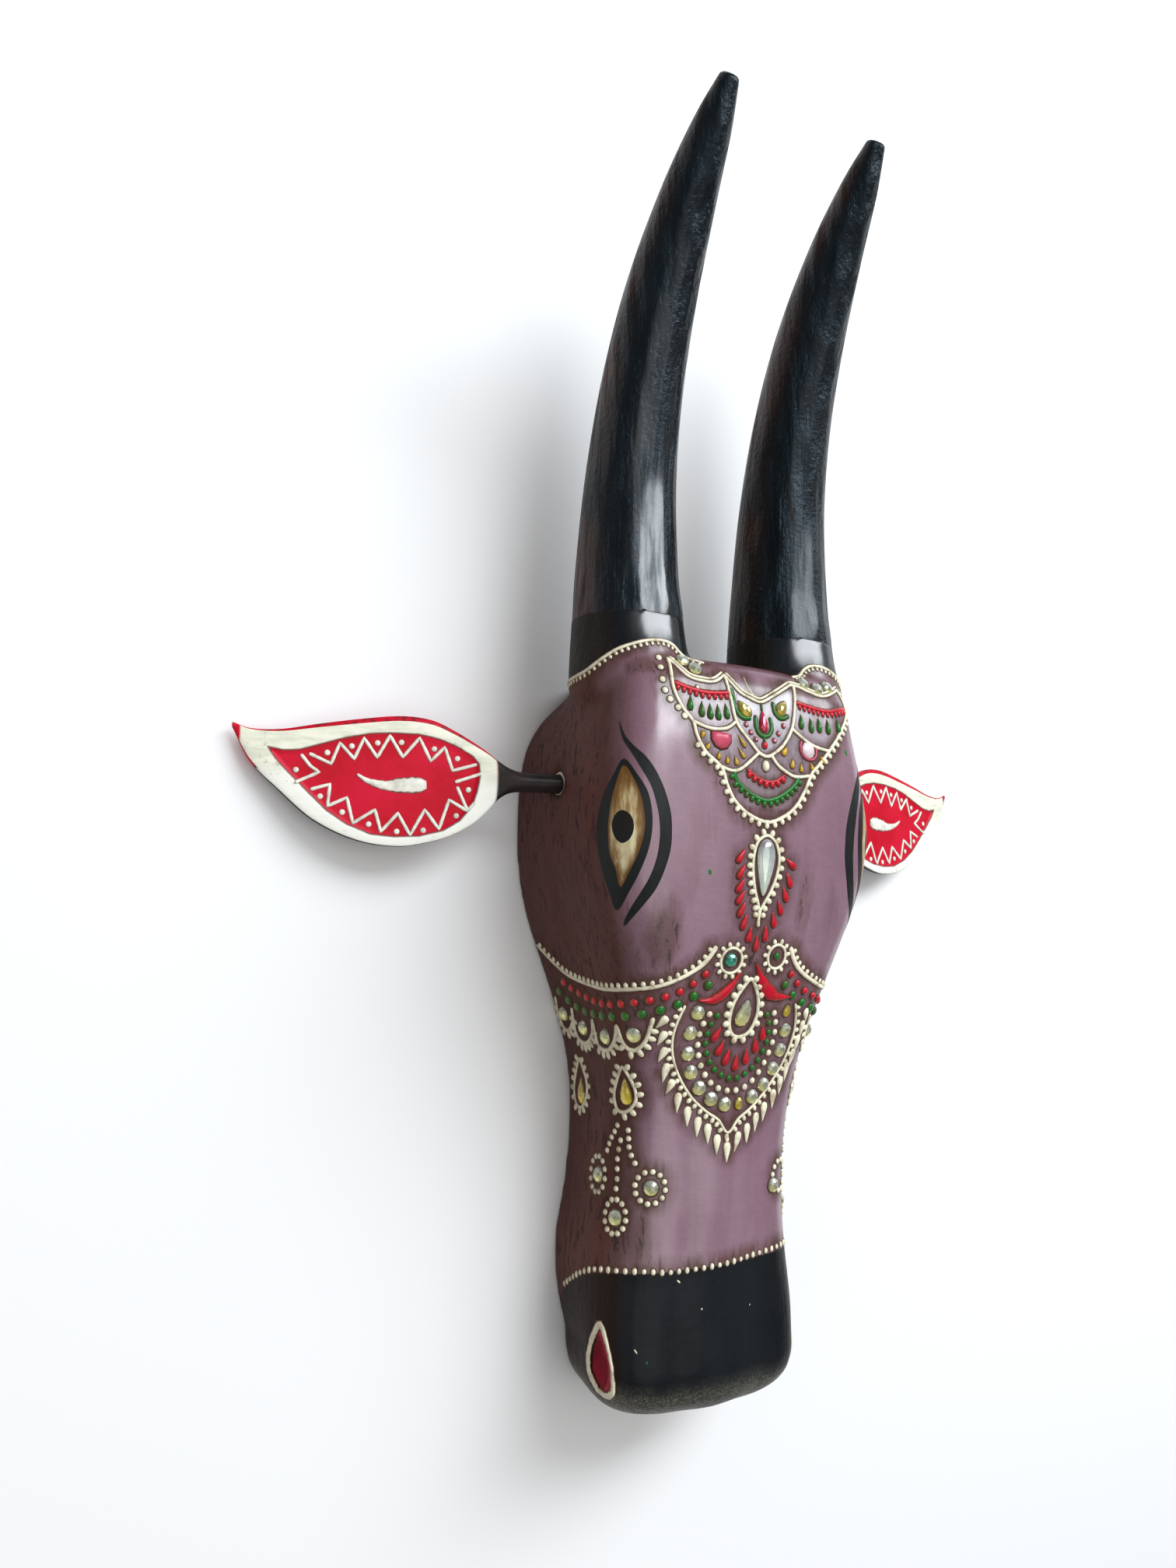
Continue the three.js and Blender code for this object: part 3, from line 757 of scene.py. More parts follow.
def shape_of_dot(pinch, tail, sides=10, rings=6):
    """A half-sunk dot of one millimetre radius. Its upper end may be drawn out to a tail."""
    bpy.ops.object.select_all(action="DESELECT")
    bpy.ops.mesh.primitive_uv_sphere_add(segments=sides, ring_count=rings, radius=1)
    bpy.ops.object.mode_set(mode="EDIT")
    bpy.ops.mesh.select_all(action="SELECT")
    bpy.ops.mesh.bisect(plane_co=(0, 0, -0.3), plane_no=(0, 0, 1), use_fill=True, clear_inner=True)
    bpy.ops.object.mode_set(mode="OBJECT")
    made = bpy.context.object
    corners = []
    for vertex in made.data.vertices:
        x, y, z = vertex.co
        up = max((y + 1) / 2, 0)
        narrow = 1 - pinch * up ** 1.5
        corners.append((x * narrow, y + tail * up ** 2, z * (0.45 + 0.55 * narrow) if z > 0 else z))
    middle = (min(c[1] for c in corners) + max(c[1] for c in corners)) / 2
    half = (max(c[1] for c in corners) - min(c[1] for c in corners)) / 2
    corners = [(x, (y - middle) / half, z) for x, y, z in corners]
    faces = [tuple(face.vertices) for face in made.data.polygons]
    bpy.data.objects.remove(made)
    return corners, faces


round_dot = shape_of_dot(0.0, 0.0)
drop_dot = shape_of_dot(0.85, 0.8)
spike_dot = shape_of_dot(0.88, 1.7)
ornament_spots = []


def path_on_head(points, step=1.2, closed=False):
    """Points and normals a step apart, along a smooth line through places round the face."""
    rows = smooth_loop(points, step) if closed else smooth_line(points, step)
    return [on_head(row.x, row.y) for row in rows]


def mirrored(points):
    return [(-a, y) for a, y in points]


def crossways(normal, forward):
    return normal.cross(forward).normalized()


def directions(path, closed=False):
    """The forward direction at each point of a path."""
    last = len(path) - 1
    made = []
    for i in range(len(path)):
        before = path[i - 1 if closed or i > 0 else 0][0]
        after = path[(i + 1) % len(path) if closed else min(i + 1, last)][0]
        made.append((after - before).normalized())
    return made


def beside(path, spacing, offset=0.01, closed=False, margin=0.5):
    """Spots spaced evenly along a path and moved to its left by an offset, pointing away from it."""
    forward = directions(path, closed)
    rows = [Vector((*p, i)) for i, (p, _) in enumerate(path)]
    if closed:
        rows.append(Vector((*path[0][0], len(path))))
    lengths = [0.0]
    for a, b in zip(rows, rows[1:]):
        lengths.append(lengths[-1] + (b.xyz - a.xyz).length * 1000)
    count = max(int(round(lengths[-1] / spacing)), 1)
    made = []
    for k in range(count):
        wanted = lengths[-1] * (k + margin) / count
        i = max(j for j in range(len(lengths)) if lengths[j] <= wanted)
        i = min(i, len(rows) - 2)
        share = (wanted - lengths[i]) / max(lengths[i + 1] - lengths[i], 1e-6)
        spot = rows[i].lerp(rows[i + 1], share).xyz
        at = i % len(path)
        away = crossways(path[at][1], forward[at]) * math.copysign(1, offset)
        point, normal = nearest(spot + away * abs(offset) / 1000)
        up = upwards(normal)
        made.append((point, normal, math.degrees(math.atan2(away.dot(up.cross(normal)), away.dot(up)))))
    return made


def shifted(path, offset):
    return [
        nearest(point + crossways(normal, ahead) * offset / 1000)
        for (point, normal), ahead in zip(path, directions(path))
    ]


def spots_at(rows):
    """Spots at places round the face, with the angle that each leans by where one is given."""
    return [(*on_head(a, y), *lean) for a, y, *lean in rows]


def upwards(normal):
    return (Vector((0, 1, 0)) - normal * normal.y).normalized()


line_edge_height = 0.22
dot_edge_height = 0.2


class Relief:
    """The raised paint of one ornament. Each colour becomes a piece, with a dark edge below."""

    def __init__(self, name, washed=True):
        self.name = name
        self.washed = washed
        self.shapes = {}

    def add(self, colour, corners, rises, faces):
        made = self.shapes.setdefault(colour, ([], [], []))
        start = len(made[0])
        made[0].extend(corners)
        made[1].extend(rises)
        made[2].extend(tuple(start + i for i in face) for face in faces)

    def line(self, colour, path, width, height=0.85, closed=False, edge=0.75):
        """A raised line along a path, in millimetres, of one width or a width at each point."""
        widths = width if isinstance(width, list) else [width]
        for tint, extra, high in ((colour, 0, height), ("edge", edge, line_edge_height)):
            if tint == "edge" and edge == 0:
                continue
            self.tube(tint, path, [w + extra for w in widths], high, closed)
        if self.washed:
            ornament_spots.extend(point for point, _ in path)

    def tube(self, colour, path, widths, height, closed):
        sides = 8
        end_reach = 0.36
        end_width = 0.6
        end_height = 0.7
        sunk = 0.5
        forward = directions(path, closed)
        rings = []
        last = len(path) - 1
        for i, (point, normal) in enumerate(path):
            share = i / max(last, 1) * (len(widths) - 1)
            low = min(int(share), len(widths) - 1)
            high = min(low + 1, len(widths) - 1)
            width = widths[low] + (widths[high] - widths[low]) * (share - low)
            unevenness = 1 + 0.07 * math.sin(2.3 * i) + 0.05 * math.sin(0.9 * i + 1)
            width *= unevenness
            rings.append((point, normal, forward[i], width, 1.0))
        if not closed:
            for end, way in ((0, -1), (last, 1)):
                point, normal, ahead, width, _ = rings[0 if end == 0 else -1]
                tip = point + ahead * way * width * end_reach / 1000
                cap = (tip, normal, ahead, width * end_width, end_height)
                if end == 0:
                    rings.insert(0, cap)
                else:
                    rings.append(cap)
        corners = []
        rises = []
        for point, normal, ahead, width, lower in rings:
            side = crossways(normal, ahead)
            for k in range(sides):
                turn = 2 * math.pi * k / sides
                out = math.sin(turn)
                high = height * lower * out if out > 0 else sunk * out
                corners.append(point + (side * width / 2 * math.cos(turn) + normal * high) / 1000)
                rises.append(max(out, 0))
        faces = bands(len(rings), sides, joined=closed)
        if not closed:
            faces.append(tuple(range(sides - 1, -1, -1)))
            faces.append(tuple(range(len(corners) - sides, len(corners))))
        self.add(colour, corners, rises, faces)

    def dab(self, colour, spot, width, length=None, height=None, turn=None, shape=round_dot, edge=0.75):
        """One dot or drop at a spot, its sizes in millimetres, its top turned clockwise in degrees."""
        point, normal = spot[0], spot[1]
        if turn is None:
            turn = spot[2] if len(spot) > 2 else 0
        length = length or width
        height = height or 0.38 * width
        up = upwards(normal)
        right = up.cross(normal)
        turn = math.radians(turn)
        along = up * math.cos(turn) + right * math.sin(turn)
        across = along.cross(normal)
        for tint, extra, high in ((colour, 0, height), ("edge", edge, dot_edge_height)):
            if tint == "edge" and edge == 0:
                continue
            half = across * (width + extra) / 2000
            long = along * (length + extra) / 2000
            corners = [point + half * x + long * y + normal * z * high / 1000 for x, y, z in shape[0]]
            self.add(tint, corners, [max(z, 0) for _, _, z in shape[0]], shape[1])
        if self.washed:
            ornament_spots.append(point)

    def beads(self, colour, spots, *sizes, **looks):
        for spot in spots:
            self.dab(colour, spot, *sizes, **looks)

    def beaded(self, colour, path, width, spacing, offset, wide, long, closed=False):
        """A raised line with a row of dots, scallops or points beside it."""
        self.line(colour, path, width, closed=closed)
        self.beads(colour, beside(path, spacing, offset, closed), wide, long)

    def make(self, smooth=True):
        """The piece of each colour, by its name."""
        pieces = {}
        for colour, (corners, rises, faces) in self.shapes.items():
            piece = new_piece(self.name + "_" + colour, corners, faces, rise=rises)
            mend(piece, outwards=True)
            if smooth:
                bpy.ops.object.shade_smooth()
            piece.data.materials.append(relief_paints[colour])
            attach(piece, "root")
            pieces[colour] = piece
        return pieces


crown = Relief("crown")
top_left = [(-44.5, 126), (-37.5, 118), (-29, 116.3), (-23.5, 117), (-18, 120.6)]
top_right = [(20.4, 120.7), (25.3, 120.6), (32, 119), (42, 118), (57, 124)]
crown_vee = [(-18, 120.6), (-11.7, 113.4), (-5.8, 110.8), (0, 109.6), (8, 113.6), (20.4, 120.7)]
crown_fringe = [
    (-44.5, 126), (-46, 113), (-42.6, 103.3), (-37.6, 97), (-36, 90.7), (-32, 83.5), (-24, 77),
    (-21.5, 70), (-17.6, 63), (-10, 57.2), (0, 54.4), (8, 56.5), (16.3, 61.8), (22.8, 70),
    (28, 79), (32.5, 83), (40.5, 90.7), (50.6, 101.7), (59.8, 113), (57, 124),
]
crown_left_wall = [(-18, 120.6), (-16.6, 108.8), (-14.6, 98.1), (-7.5, 89.7), (-3.5, 85.6), (0, 84.2)]
crown_right_wall = [(22.5, 120), (20.3, 109.4), (17, 98.9), (11, 90.5), (3.5, 85), (0, 84.2)]
crown_left_shelf = [(-37.6, 97), (-31.6, 95), (-26.3, 94.4), (-20, 95.4), (-15.8, 98.4)]
crown_right_shelf = [(17, 98.9), (24.9, 94.2), (31.8, 91.7), (40.5, 90.7)]
crown_left_foot = [(-24, 77.5), (-19, 76.2), (-14.5, 77), (-9.5, 80.5), (-3.5, 85.6)]
crown_right_foot = [(3.5, 85), (7.5, 80.5), (14.5, 77), (19, 76.4), (26, 77.5)]
for line in (top_left, top_right, crown_vee):
    path = path_on_head(line)
    crown.line("cream", path, 1.6)
    crown.line("cream", shifted(path, 1.7), 1.3)
for line in (
    crown_left_wall, crown_right_wall, crown_left_shelf, crown_right_shelf,
    crown_left_foot, crown_right_foot,
):
    crown.line("cream", path_on_head(line), 1.8)
fringe = path_on_head(crown_fringe)
crown.line("cream", fringe, 1.9)
crown.beads("cream", beside(fringe, 4.2, -1.6)[10:75], 2.7, 3.4)
ridge_rings = [(-49, 126), (-50, 121), (-50.5, 115), (-50, 110), (-48, 106), (-44.5, 102.5), (-41.5, 99)]
for a, y in ridge_rings:
    crown.dab("cream", on_head(a, y), 3.2, height=0.8)
    crown.dab("edge", on_head(a, y, 0.62), 1.1, height=0.25, edge=0)
crown.beads("cream", spots_at([(-38, 124), (-33.5, 113), (-42, 126), (48, 125), (53, 124)]), 2.2)
for line in (
    [(-44.5, 114), (-36, 111.8), (-27.8, 111), (-17.6, 112)],
    [(22.5, 112), (33, 110.7), (43.3, 110.5), (58, 114)],
):
    crown.beaded("red", path_on_head(line), 2.2, 3.0, -1.6, 2.1, 3.2)
crown_greens = [
    (-38, 105.4, 8), (-32.5, 103, 5), (-28.3, 102.3, 2), (-24.2, 102.3, 0), (-19.8, 103.2, -5),
    (23.5, 103, 5), (29.8, 102, 0), (35.3, 102.7, 0), (41.3, 102.6, 0), (48.6, 104, -6),
]
crown.beads("green", spots_at(crown_greens), 4.0, 7.6, 1.6, shape=drop_dot)
for a, y, wide, long, lean in (
    (-33.2, 91, 3.2, 3.6, 200), (-30.6, 86.4, 2.9, 4, 30), (-25.3, 82.6, 2.6, 4.2, 10),
    (-21, 80.9, 2.6, 4, 0), (-16.3, 80.8, 3, 4.4, -15), (-13.3, 84.6, 2.6, 6, -35),
    (-12.8, 90, 2.4, 7, -35), (11.8, 87.8, 4, 5.4, 35), (16, 82.4, 3.6, 5, 10),
    (21.3, 80.8, 3, 4.4, 0), (28, 82, 2.8, 4.2, -15), (35, 86, 2.8, 4.4, -30),
):
    crown.dab("yellow", on_head(a, y), wide, long, 1.2, lean, drop_dot)
half_dot = ([(x, min(y, 0.3), z) for x, y, z in round_dot[0]], round_dot[1])
crown.dab("pink", on_head(-23.6, 91), 11, 12, 1.5, 4, half_dot)
crown.dab("white", on_head(26.3, 89.6), 8.6, 8.6, 1.3)
right_dome = [(22, 93.2), (21.4, 89), (24, 85.8), (28, 85.2), (31, 87.2), (31.6, 90.8)]
crown.line("pink", path_on_head(right_dome), 1.3)
for a, y in ((-9.7, 98), (-7.4, 94.6), (-4.8, 91.6), (5.8, 92), (8.5, 95.6), (12, 99.6)):
    crown.dab("pink", on_head(a, y), 2.3)
    crown.dab("white", on_head(a, y, 0.5), 1.3, height=0.4, edge=0)
crown.dab("red", on_head(0, 89.3), 3.2, 3.6)
crown.dab("cream", on_head(0, 79.8), 4.2, 5.6, 1.6)
red_garland = [(-10, 77), (-5, 74.2), (0, 72.6), (5.5, 73.2), (10.5, 76.2)]
crown.beaded("red", path_on_head(red_garland), 1.6, 3.2, -1.2, 2.8, 3.4)
green_garland = [
    (-17.5, 75.6), (-16, 71.6), (-11.2, 68), (-6, 65.3), (0, 64), (6, 65.5), (12.5, 69),
    (17.5, 73), (19.5, 76),
]
crown.beaded("green", path_on_head(green_garland), 2.1, 3.3, -1.5, 2.6, 3.2)
for line in (
    [(-15.5, 109), (-14.6, 104.6), (-11.4, 101), (-7.4, 101.2)],
    [(7.2, 109.7), (7.6, 105.3), (11, 103), (15.4, 104.6)],
    [(-3.9, 102), (-4.3, 97.6), (-2.6, 94.4), (0, 93.4), (2.8, 94.3), (4.8, 97.6), (4.4, 102)],
):
    crown.line("green", path_on_head(line), 1.9)
crown.line("green", path_on_head([(-16.2, 113.4), (-15.2, 110.8), (-14.8, 108.6)]), [2.6, 2, 1])
crown.line("green", path_on_head([(0, 109), (0, 105.8)]), 0.9)
crown.line("green", path_on_head([(0, 93), (0, 90.8)]), 0.9)
crown.line("cream", path_on_head([(-7, 121), (-6, 116), (-2.5, 110.8)]), [0.3, 0.7, 0.5], 0.25, edge=0)


# The cream borders of the horn bosses.
# A line of cream paint closes off the black of each boss, and a row of small scallops hangs below
# it. Like the panel's lines, it is laid on from a fine cone.

# The distance across, up and out.
horn_border = [
    (-68, 118.5, 36), (-72.3, 119, 47.4), (-74.4, 119.8, 60.5), (-73, 121.6, 67), (-70, 125.6, 73.2),
    (-65.6, 129.2, 77.4), (-60.4, 131.6, 80.7), (-53.7, 133.8, 83.1), (-46.7, 134.8, 83.9),
    (-40, 134.2, 84.5), (-33, 131, 87), (-26.3, 126.6, 88.6),
]
for side in (-1, 1):
    places = smooth_line([Vector((side * -a, y, z)) / 1000 for a, y, z in horn_border], 0.0012)
    crown.beaded("cream", [nearest(place) for place in places], 1.7, 3.0, 1.7 * side, 1.7, 2.2)
crown.make()


# The forehead jewel, the two flowers and the brow bands.
# A long stone lies in a ring of cream dots with red tears round it. Below it are two small rings,
# and a band of red and green dots runs from each under a cream line to the back of the head.
forehead = Relief("forehead")
jewel_ring = [
    (0.6, 48.4), (-4.6, 45.4), (-6.6, 39), (-6.4, 32), (-4.6, 24.6), (-2, 18.4), (-0.4, 15.2),
    (1.6, 18.6), (4.6, 24), (7, 31), (7.8, 38.4), (5.6, 45.2),
]
path = path_on_head(jewel_ring, closed=True)
forehead.beaded("cream", path, 1.7, 3.75, -1.7, 3.0, 3.8, closed=True)
forehead.line("cream", path_on_head([(-0.4, 15.2), (-0.5, 11.5), (-0.3, 8.6)]), [2.2, 1.8, 2.2])
forehead.beads("cream", spots_at([(-2.6, 13.2), (1.8, 13)]), 3)
forehead_tears = [
    (-13.4, 38.8, 32), (-12.6, 32, 28), (-12.4, 26, 28), (-11.6, 20.8, 30), (-10.3, 15.4, 22),
    (-8.2, 10, 12), (-4.4, 4.6, 6), (0, 0.6, 0), (4.5, 5, -4), (8, 11.3, -18), (10.8, 16.8, -26),
    (12.9, 22.8, -26), (14.4, 29.2, -28), (14.6, 36.6, -55),
]
forehead.beads("red", spots_at(forehead_tears), 4.5, 8.2, 1.5, shape=drop_dot)
for a, y, wide, high in ((-12, -7.2, 5.6, 5.6), (13.1, -5.3, 5.2, 5.4)):
    ring = [
        (a + wide * math.sin(math.radians(t)), y + high * math.cos(math.radians(t)))
        for t in range(0, 360, 45)
    ]
    path = path_on_head(ring, closed=True)
    forehead.beaded("cream", path, 1.6, 3.0, 1.7, 2.3, 3.0, closed=True)
forehead.dab("green", on_head(13.1, -5), 3.4, 3.8)
forehead.make()

brow = Relief("brow")
brow_line = [
    (-21.3, -1.8), (-25.4, -8), (-31.9, -12.8), (-41.6, -17.2), (-50.5, -19.4), (-67.4, -20.6),
    (-81.2, -20), (-105.8, -16.2), (-121.3, -10.8), (-139, -2),
]
brow_reds = [
    (-23.6, -12.7), (-31, -18.5), (-39.2, -22.4), (-55.3, -26), (-75.7, -27.2), (-99.8, -23),
    (-120.6, -16.8),
]
brow_greens = [
    (-20.9, -17.5), (-29, -23.5), (-40.2, -28.2), (-60.4, -32.4), (-89.2, -31.9), (-110.1, -27.2),
    (-127, -19.8),
]
for turned in (list, mirrored):
    path = path_on_head(turned(brow_line))
    below = -1.8 if turned is list else 1.8
    brow.beaded("cream", path, [2.8, 2.3, 2.1, 2.0, 2.0, 1.9, 1.9, 1.8], 4.0, below, 2.4, 3.0)
    for colour, line, spacing, wide in (
        ("red", brow_reds, 7.0, 3.9), ("green", brow_greens, 8.4, 4.6),
    ):
        spots = beside(path_on_head(turned(line)), spacing, margin=0.12)
        brow.beads(colour, spots, wide, height=1.5, turn=0)
brow.make()


# The cheek cups and tassels, on both sides of the head.
# A scallop of cream paint hangs under each cheek stone. Below are two drop stones in pointed
# rings, and from the front one three strings of dots run down to small flowers round a stone.
cheeks = Relief("cheeks")
cups = [
    [
        (-45, -33), (-45.6, -40.8), (-47.1, -44.6), (-50, -47),
        (-53.6, -46.3), (-57.5, -42.9), (-60.4, -38.4), (-62, -36.8),
    ],
    [
        (-62, -36.8), (-61.6, -41), (-62.6, -45), (-65.8, -48),
        (-71.9, -48), (-76.8, -45.4), (-80, -41), (-83.6, -35.6),
    ],
    [
        (-83.6, -35.6), (-82.8, -41), (-85, -44.8), (-90, -47),
        (-96.6, -45.8), (-101.3, -42.2), (-103.8, -37), (-105.6, -31.6),
    ],
    [
        (-105.6, -31.6), (-104.8, -38), (-108, -41.4), (-112.3, -42.2),
        (-117, -39.6), (-121.5, -34.4), (-123.6, -27),
    ],
]
tassel_rings = [
    [
        (-55, -54.8), (-51.6, -58), (-48.6, -61.8), (-46.6, -66), (-46.4, -70), (-48.8, -73.6),
        (-52, -75), (-55.4, -74), (-57.6, -70.4), (-58.4, -66.4), (-57.6, -61.4), (-56.4, -57.4),
    ],
    [
        (-97, -54.8), (-92, -59.2), (-88, -63.6), (-86, -68.3), (-86.6, -73), (-89.4, -76.6),
        (-93, -78), (-96.8, -77), (-99.8, -74), (-101.6, -70), (-101.4, -65), (-99.6, -59.6),
    ],
]
strings = [
    ([(-53.8, -79.5), (-55.6, -83.4), (-57.9, -87), (-59.4, -90.6), (-61, -94.6)], 5),
    ([(-51.6, -85.4), (-53.2, -95), (-53, -105.5), (-53.8, -111)], 6),
    ([(-48.6, -80.8), (-48, -85.4), (-47.4, -90), (-45.6, -94.6), (-43.2, -98.4)], 5),
]
flowers = [(-67.6, -104.6, 6.6, 8), (-37.2, -107.2, 6.8, 7), (-53.4, -120.8, 5.8, 7.4)]
for turned in (list, mirrored):
    side = 1 if turned is list else -1
    for cup in cups:
        path = path_on_head(turned(cup))
        cheeks.line("cream", path, 2.2)
        cheeks.beads("cream", beside(path, 3.5, 2.0 * side)[1:-1], 2.8, 4.8)
    for ring in tassel_rings:
        path = path_on_head(turned(ring), closed=True)
        cheeks.beaded("cream", path, 1.7, 3.9, 1.9 * side, 2.9, 4.0, closed=True)
    for line, count in strings:
        path = path_on_head(turned(line))
        length = sum((b[0] - a[0]).length for a, b in zip(path, path[1:])) * 1000
        for point, normal, _ in beside(path, length / count):
            cheeks.dab("cream", (point, normal), 2.7)
            cheeks.dab("edge", (point + normal * 0.00085, normal), 0.7, height=0.25, edge=0)
    for a, y, wide, high in flowers:
        for k in range(12):
            turn = math.radians(30 * k + 8)
            spot = on_head(side * a + wide * math.sin(turn), y + high * math.cos(turn))
            cheeks.dab("cream", spot, 2.8)
            cheeks.dab("edge", (spot[0] + spot[1] * 0.0009, spot[1]), 0.6, height=0.2, edge=0)
cheeks.make()


# The nose jewel.
# A drop stone in a pointed ring hangs over red drops, rows of green and cream dots and a U of
# stones. Round it goes a beaded cream line with a fringe of spikes, and red wings lie above.
nose = Relief("nose")
nose_ring = [
    (0.4, -15.2), (-3, -19), (-6, -24.2), (-7.4, -31), (-6.2, -37.4), (-2.8, -41),
    (2.4, -41), (6.2, -37.6), (7.8, -31.4), (6.8, -24.6), (3.8, -18.8),
]
path = path_on_head(nose_ring, closed=True)
nose.beaded("cream", path, 2.1, 4.1, -1.7, 3.4, 4.0, closed=True)
left_wing = [(-6.2, -12), (-9.6, -18), (-14, -22.6), (-19, -24.8), (-25, -24.6)]
right_wing = [(2.4, -9), (6.4, -15.4), (11.4, -20.6), (17.6, -23.4), (26.4, -23.4)]
for wing, widths in (
    (left_wing, [0.8, 2.4, 4, 5.6, 5, 2.6, 0.6]), (right_wing, [0.8, 3.4, 6, 7.4, 5.4, 2.8, 0.6]),
):
    nose.line("red", path_on_head(wing), widths, 1.2)
nose_drops = [
    (-12.4, -39.8, 26), (-9.2, -46, 24), (-5, -50.3, 14), (0.4, -53, 0),
    (5.8, -50.4, -6), (10.4, -45.4, -14), (13.6, -39.8, -14),
]
nose.beads("red", spots_at(nose_drops), 5.2, 8.6, 1.6, shape=drop_dot)
half_greens = [(-12.5, -30), (-16, -34.6), (-17.5, -42), (-15.6, -49), (-11.5, -55), (-5.6, -59)]
half_creams = [(-16.8, -29), (-20, -34), (-21.4, -42), (-19.6, -50), (-15.5, -57.6), (-9, -63.6)]
for colour, half, low, spacing, wide in (
    ("green", half_greens, -60.3, 4.6, 3.1), ("cream", half_creams, -65.8, 5.1, 3.3),
):
    path = path_on_head(half + [(0.3, low)] + mirrored(half[::-1]))
    nose.beads(colour, beside(path, spacing), wide, turn=0)
half_edge = [
    (-31.4, -27.4), (-33.6, -34.6), (-34.2, -41.4), (-32.8, -48.6), (-29.2, -56.4), (-24.2, -63.6),
    (-18.4, -69.8), (-11.6, -75), (-5.6, -78.6),
]
path = path_on_head(half_edge + [(0, -84.6)] + mirrored(half_edge[::-1]))
nose.beaded("cream", path, 1.5, 3.7, -1.8, 2.5, 3.2)
nose.dab("cream", on_head(-0.2, -87.6), 2.4, 3)
spikes = [
    (-41, -34.6, 222), (-39.4, -41.6, 206), (-37.6, -48.8, 205), (-35, -57, 190), (-32, -63.2, 205),
    (-27.1, -70.5, 180), (-21.4, -76.8, 178), (-16, -81.6, 182), (-10.6, -84.8, 177),
    (-5.6, -89.8, 180), (0, -93.6, 180), (5.4, -89.2, 193), (11.6, -86, 177), (17, -81.4, 179),
    (21.8, -77, 180), (26.9, -71.4, 178), (30.6, -65.4, 176), (33.6, -59, 176), (36.2, -52.8, 186),
    (38.2, -46.2, 180), (39.6, -39.4, 172), (40.6, -32.6, 152),
]
for a, y, lean in spikes:
    long = 8.4 if abs(lean - 180) > 18 else 10.4
    nose.dab("cream", on_head(a, y), 5.6, long, 1.3, lean, spike_dot)
nose.make()


# The dots along the edge of the muzzle.
# One row of cream paint dots covers the seam between the black and the mauve paint. They were laid
# on by hand and differ in length.
muzzle_dots = Relief("muzzle")
border = [
    (-97, -159), (-88.2, -154.4), (-79, -150), (-70.8, -146.7), (-63, -144.4), (-54.5, -143.3),
    (-39.4, -142.7), (-24.5, -143.6), (0, -142.4), (18.8, -140.8), (38.4, -139.4), (46, -139.6),
    (54.5, -141.6), (63, -143), (70.8, -145), (79, -148.4), (88.2, -153), (97, -158),
]
for i, spot in enumerate(beside(path_on_head(border), 4.15)):
    muzzle_dots.dab("cream", spot, 2.3, 2.9 + 0.4 * math.sin(2.1 * i), turn=0)
muzzle_dots.make()


# The crack.
# A thin drying crack runs down the right side of the forehead, and a few knife marks lie beside
# it. They are dark slivers level with the paint.
crack = Relief("crack", washed=False)
for line in (
    [(32, 93), (31, 88)], [(29, 83), (27.6, 78), (27.8, 75)], [(26.4, 70), (24.8, 60.5), (24, 54)],
    [(23.6, 51), (21.8, 46.6), (19.8, 44)], [(19.9, 40), (19.6, 33), (19.8, 28)],
    [(19.2, 25), (18, 16), (17.4, 10.5)], [(-43.4, 22.4), (-42.4, 19.4), (-41, 16.6)],
    [(-3.4, 50.6), (-3, 44)],
):
    crack.line("edge", path_on_head(line), [0.2, 0.55, 0.2], 0.05, edge=0)
crack.make()


# Stray flecks of paint, dropped from the brush on the forehead and the muzzle.
# They are tiny and nearly flat, and no wash has gathered round them.
flecks = Relief("flecks", washed=False)
for a, y, wide, long in ((53, 91.5, 2, 3.6), (-29, 31, 1.6, 2.6)):
    flecks.dab("green", on_head(a, y), wide, long, 0.15, -20, edge=0)
for colour, x, y, wide, long, turn in (
    ("cream", -62, -173, 0.7, 2.6, -35), ("cream", -25.5, -147.6, 0.9, 2.2, -50),
    ("cream", -14.6, -159.6, 0.8, 0.9, 0), ("cream", 21, -161, 0.6, 0.7, 0),
    ("green", -50, -178, 0.9, 1.1, 0),
):
    flecks.dab(colour, nearest(Vector((x, y, 100)) / 1000), wide, long, 0.12, turn, edge=0)
flecks.make()


# The eyes.
# Each is painted flat round the corner of the head: a black almond with a gold eye and a dark
# pupil, and a black crescent in front of it for the lid. The gold was brushed on downwards.
def new_flat_paint(name, colour, other, border, roughness, along):
    paint, place, shader = new_paint(name, colour, roughness, 0.0, 0.2, 0.2)
    brush = speckle(stretched(place, along), 260, 4, 0.7)
    cloud = speckle(stretched(place, 0.6), 95, 3, 0.6)
    strokes = (0.55 * brush + 0.45 * cloud).step(0.38, 0.60).blend(colour, other)
    rim = (mark(place, "rim") + 0.5 * (brush - 0.5)).step(0.55, 1.0)
    feed(shader, "Base Color", rim.blend(strokes, border))
    feed(shader, "Roughness", roughness + 0.15 * (cloud - 0.5))
    bump(shader, brush + 0.5 * cloud, 0.35, 0.0004)
    return paint


lamp_black = (0.006, 0.007, 0.007)
soft_black = (0.012, 0.014, 0.014)
eye_black = new_flat_paint("eye black", lamp_black, soft_black, lamp_black, 0.5, 0.2)
eye_gold = new_flat_paint("eye gold", (0.68, 0.60, 0.37), (0.27, 0.16, 0.05), (0.13, 0.055, 0.012), 0.4, 0.12)
brown_black = (0.012, 0.0075, 0.006)
pupil_brown = new_flat_paint("pupil brown", lamp_black, brown_black, lamp_black, 0.45, 0.3)


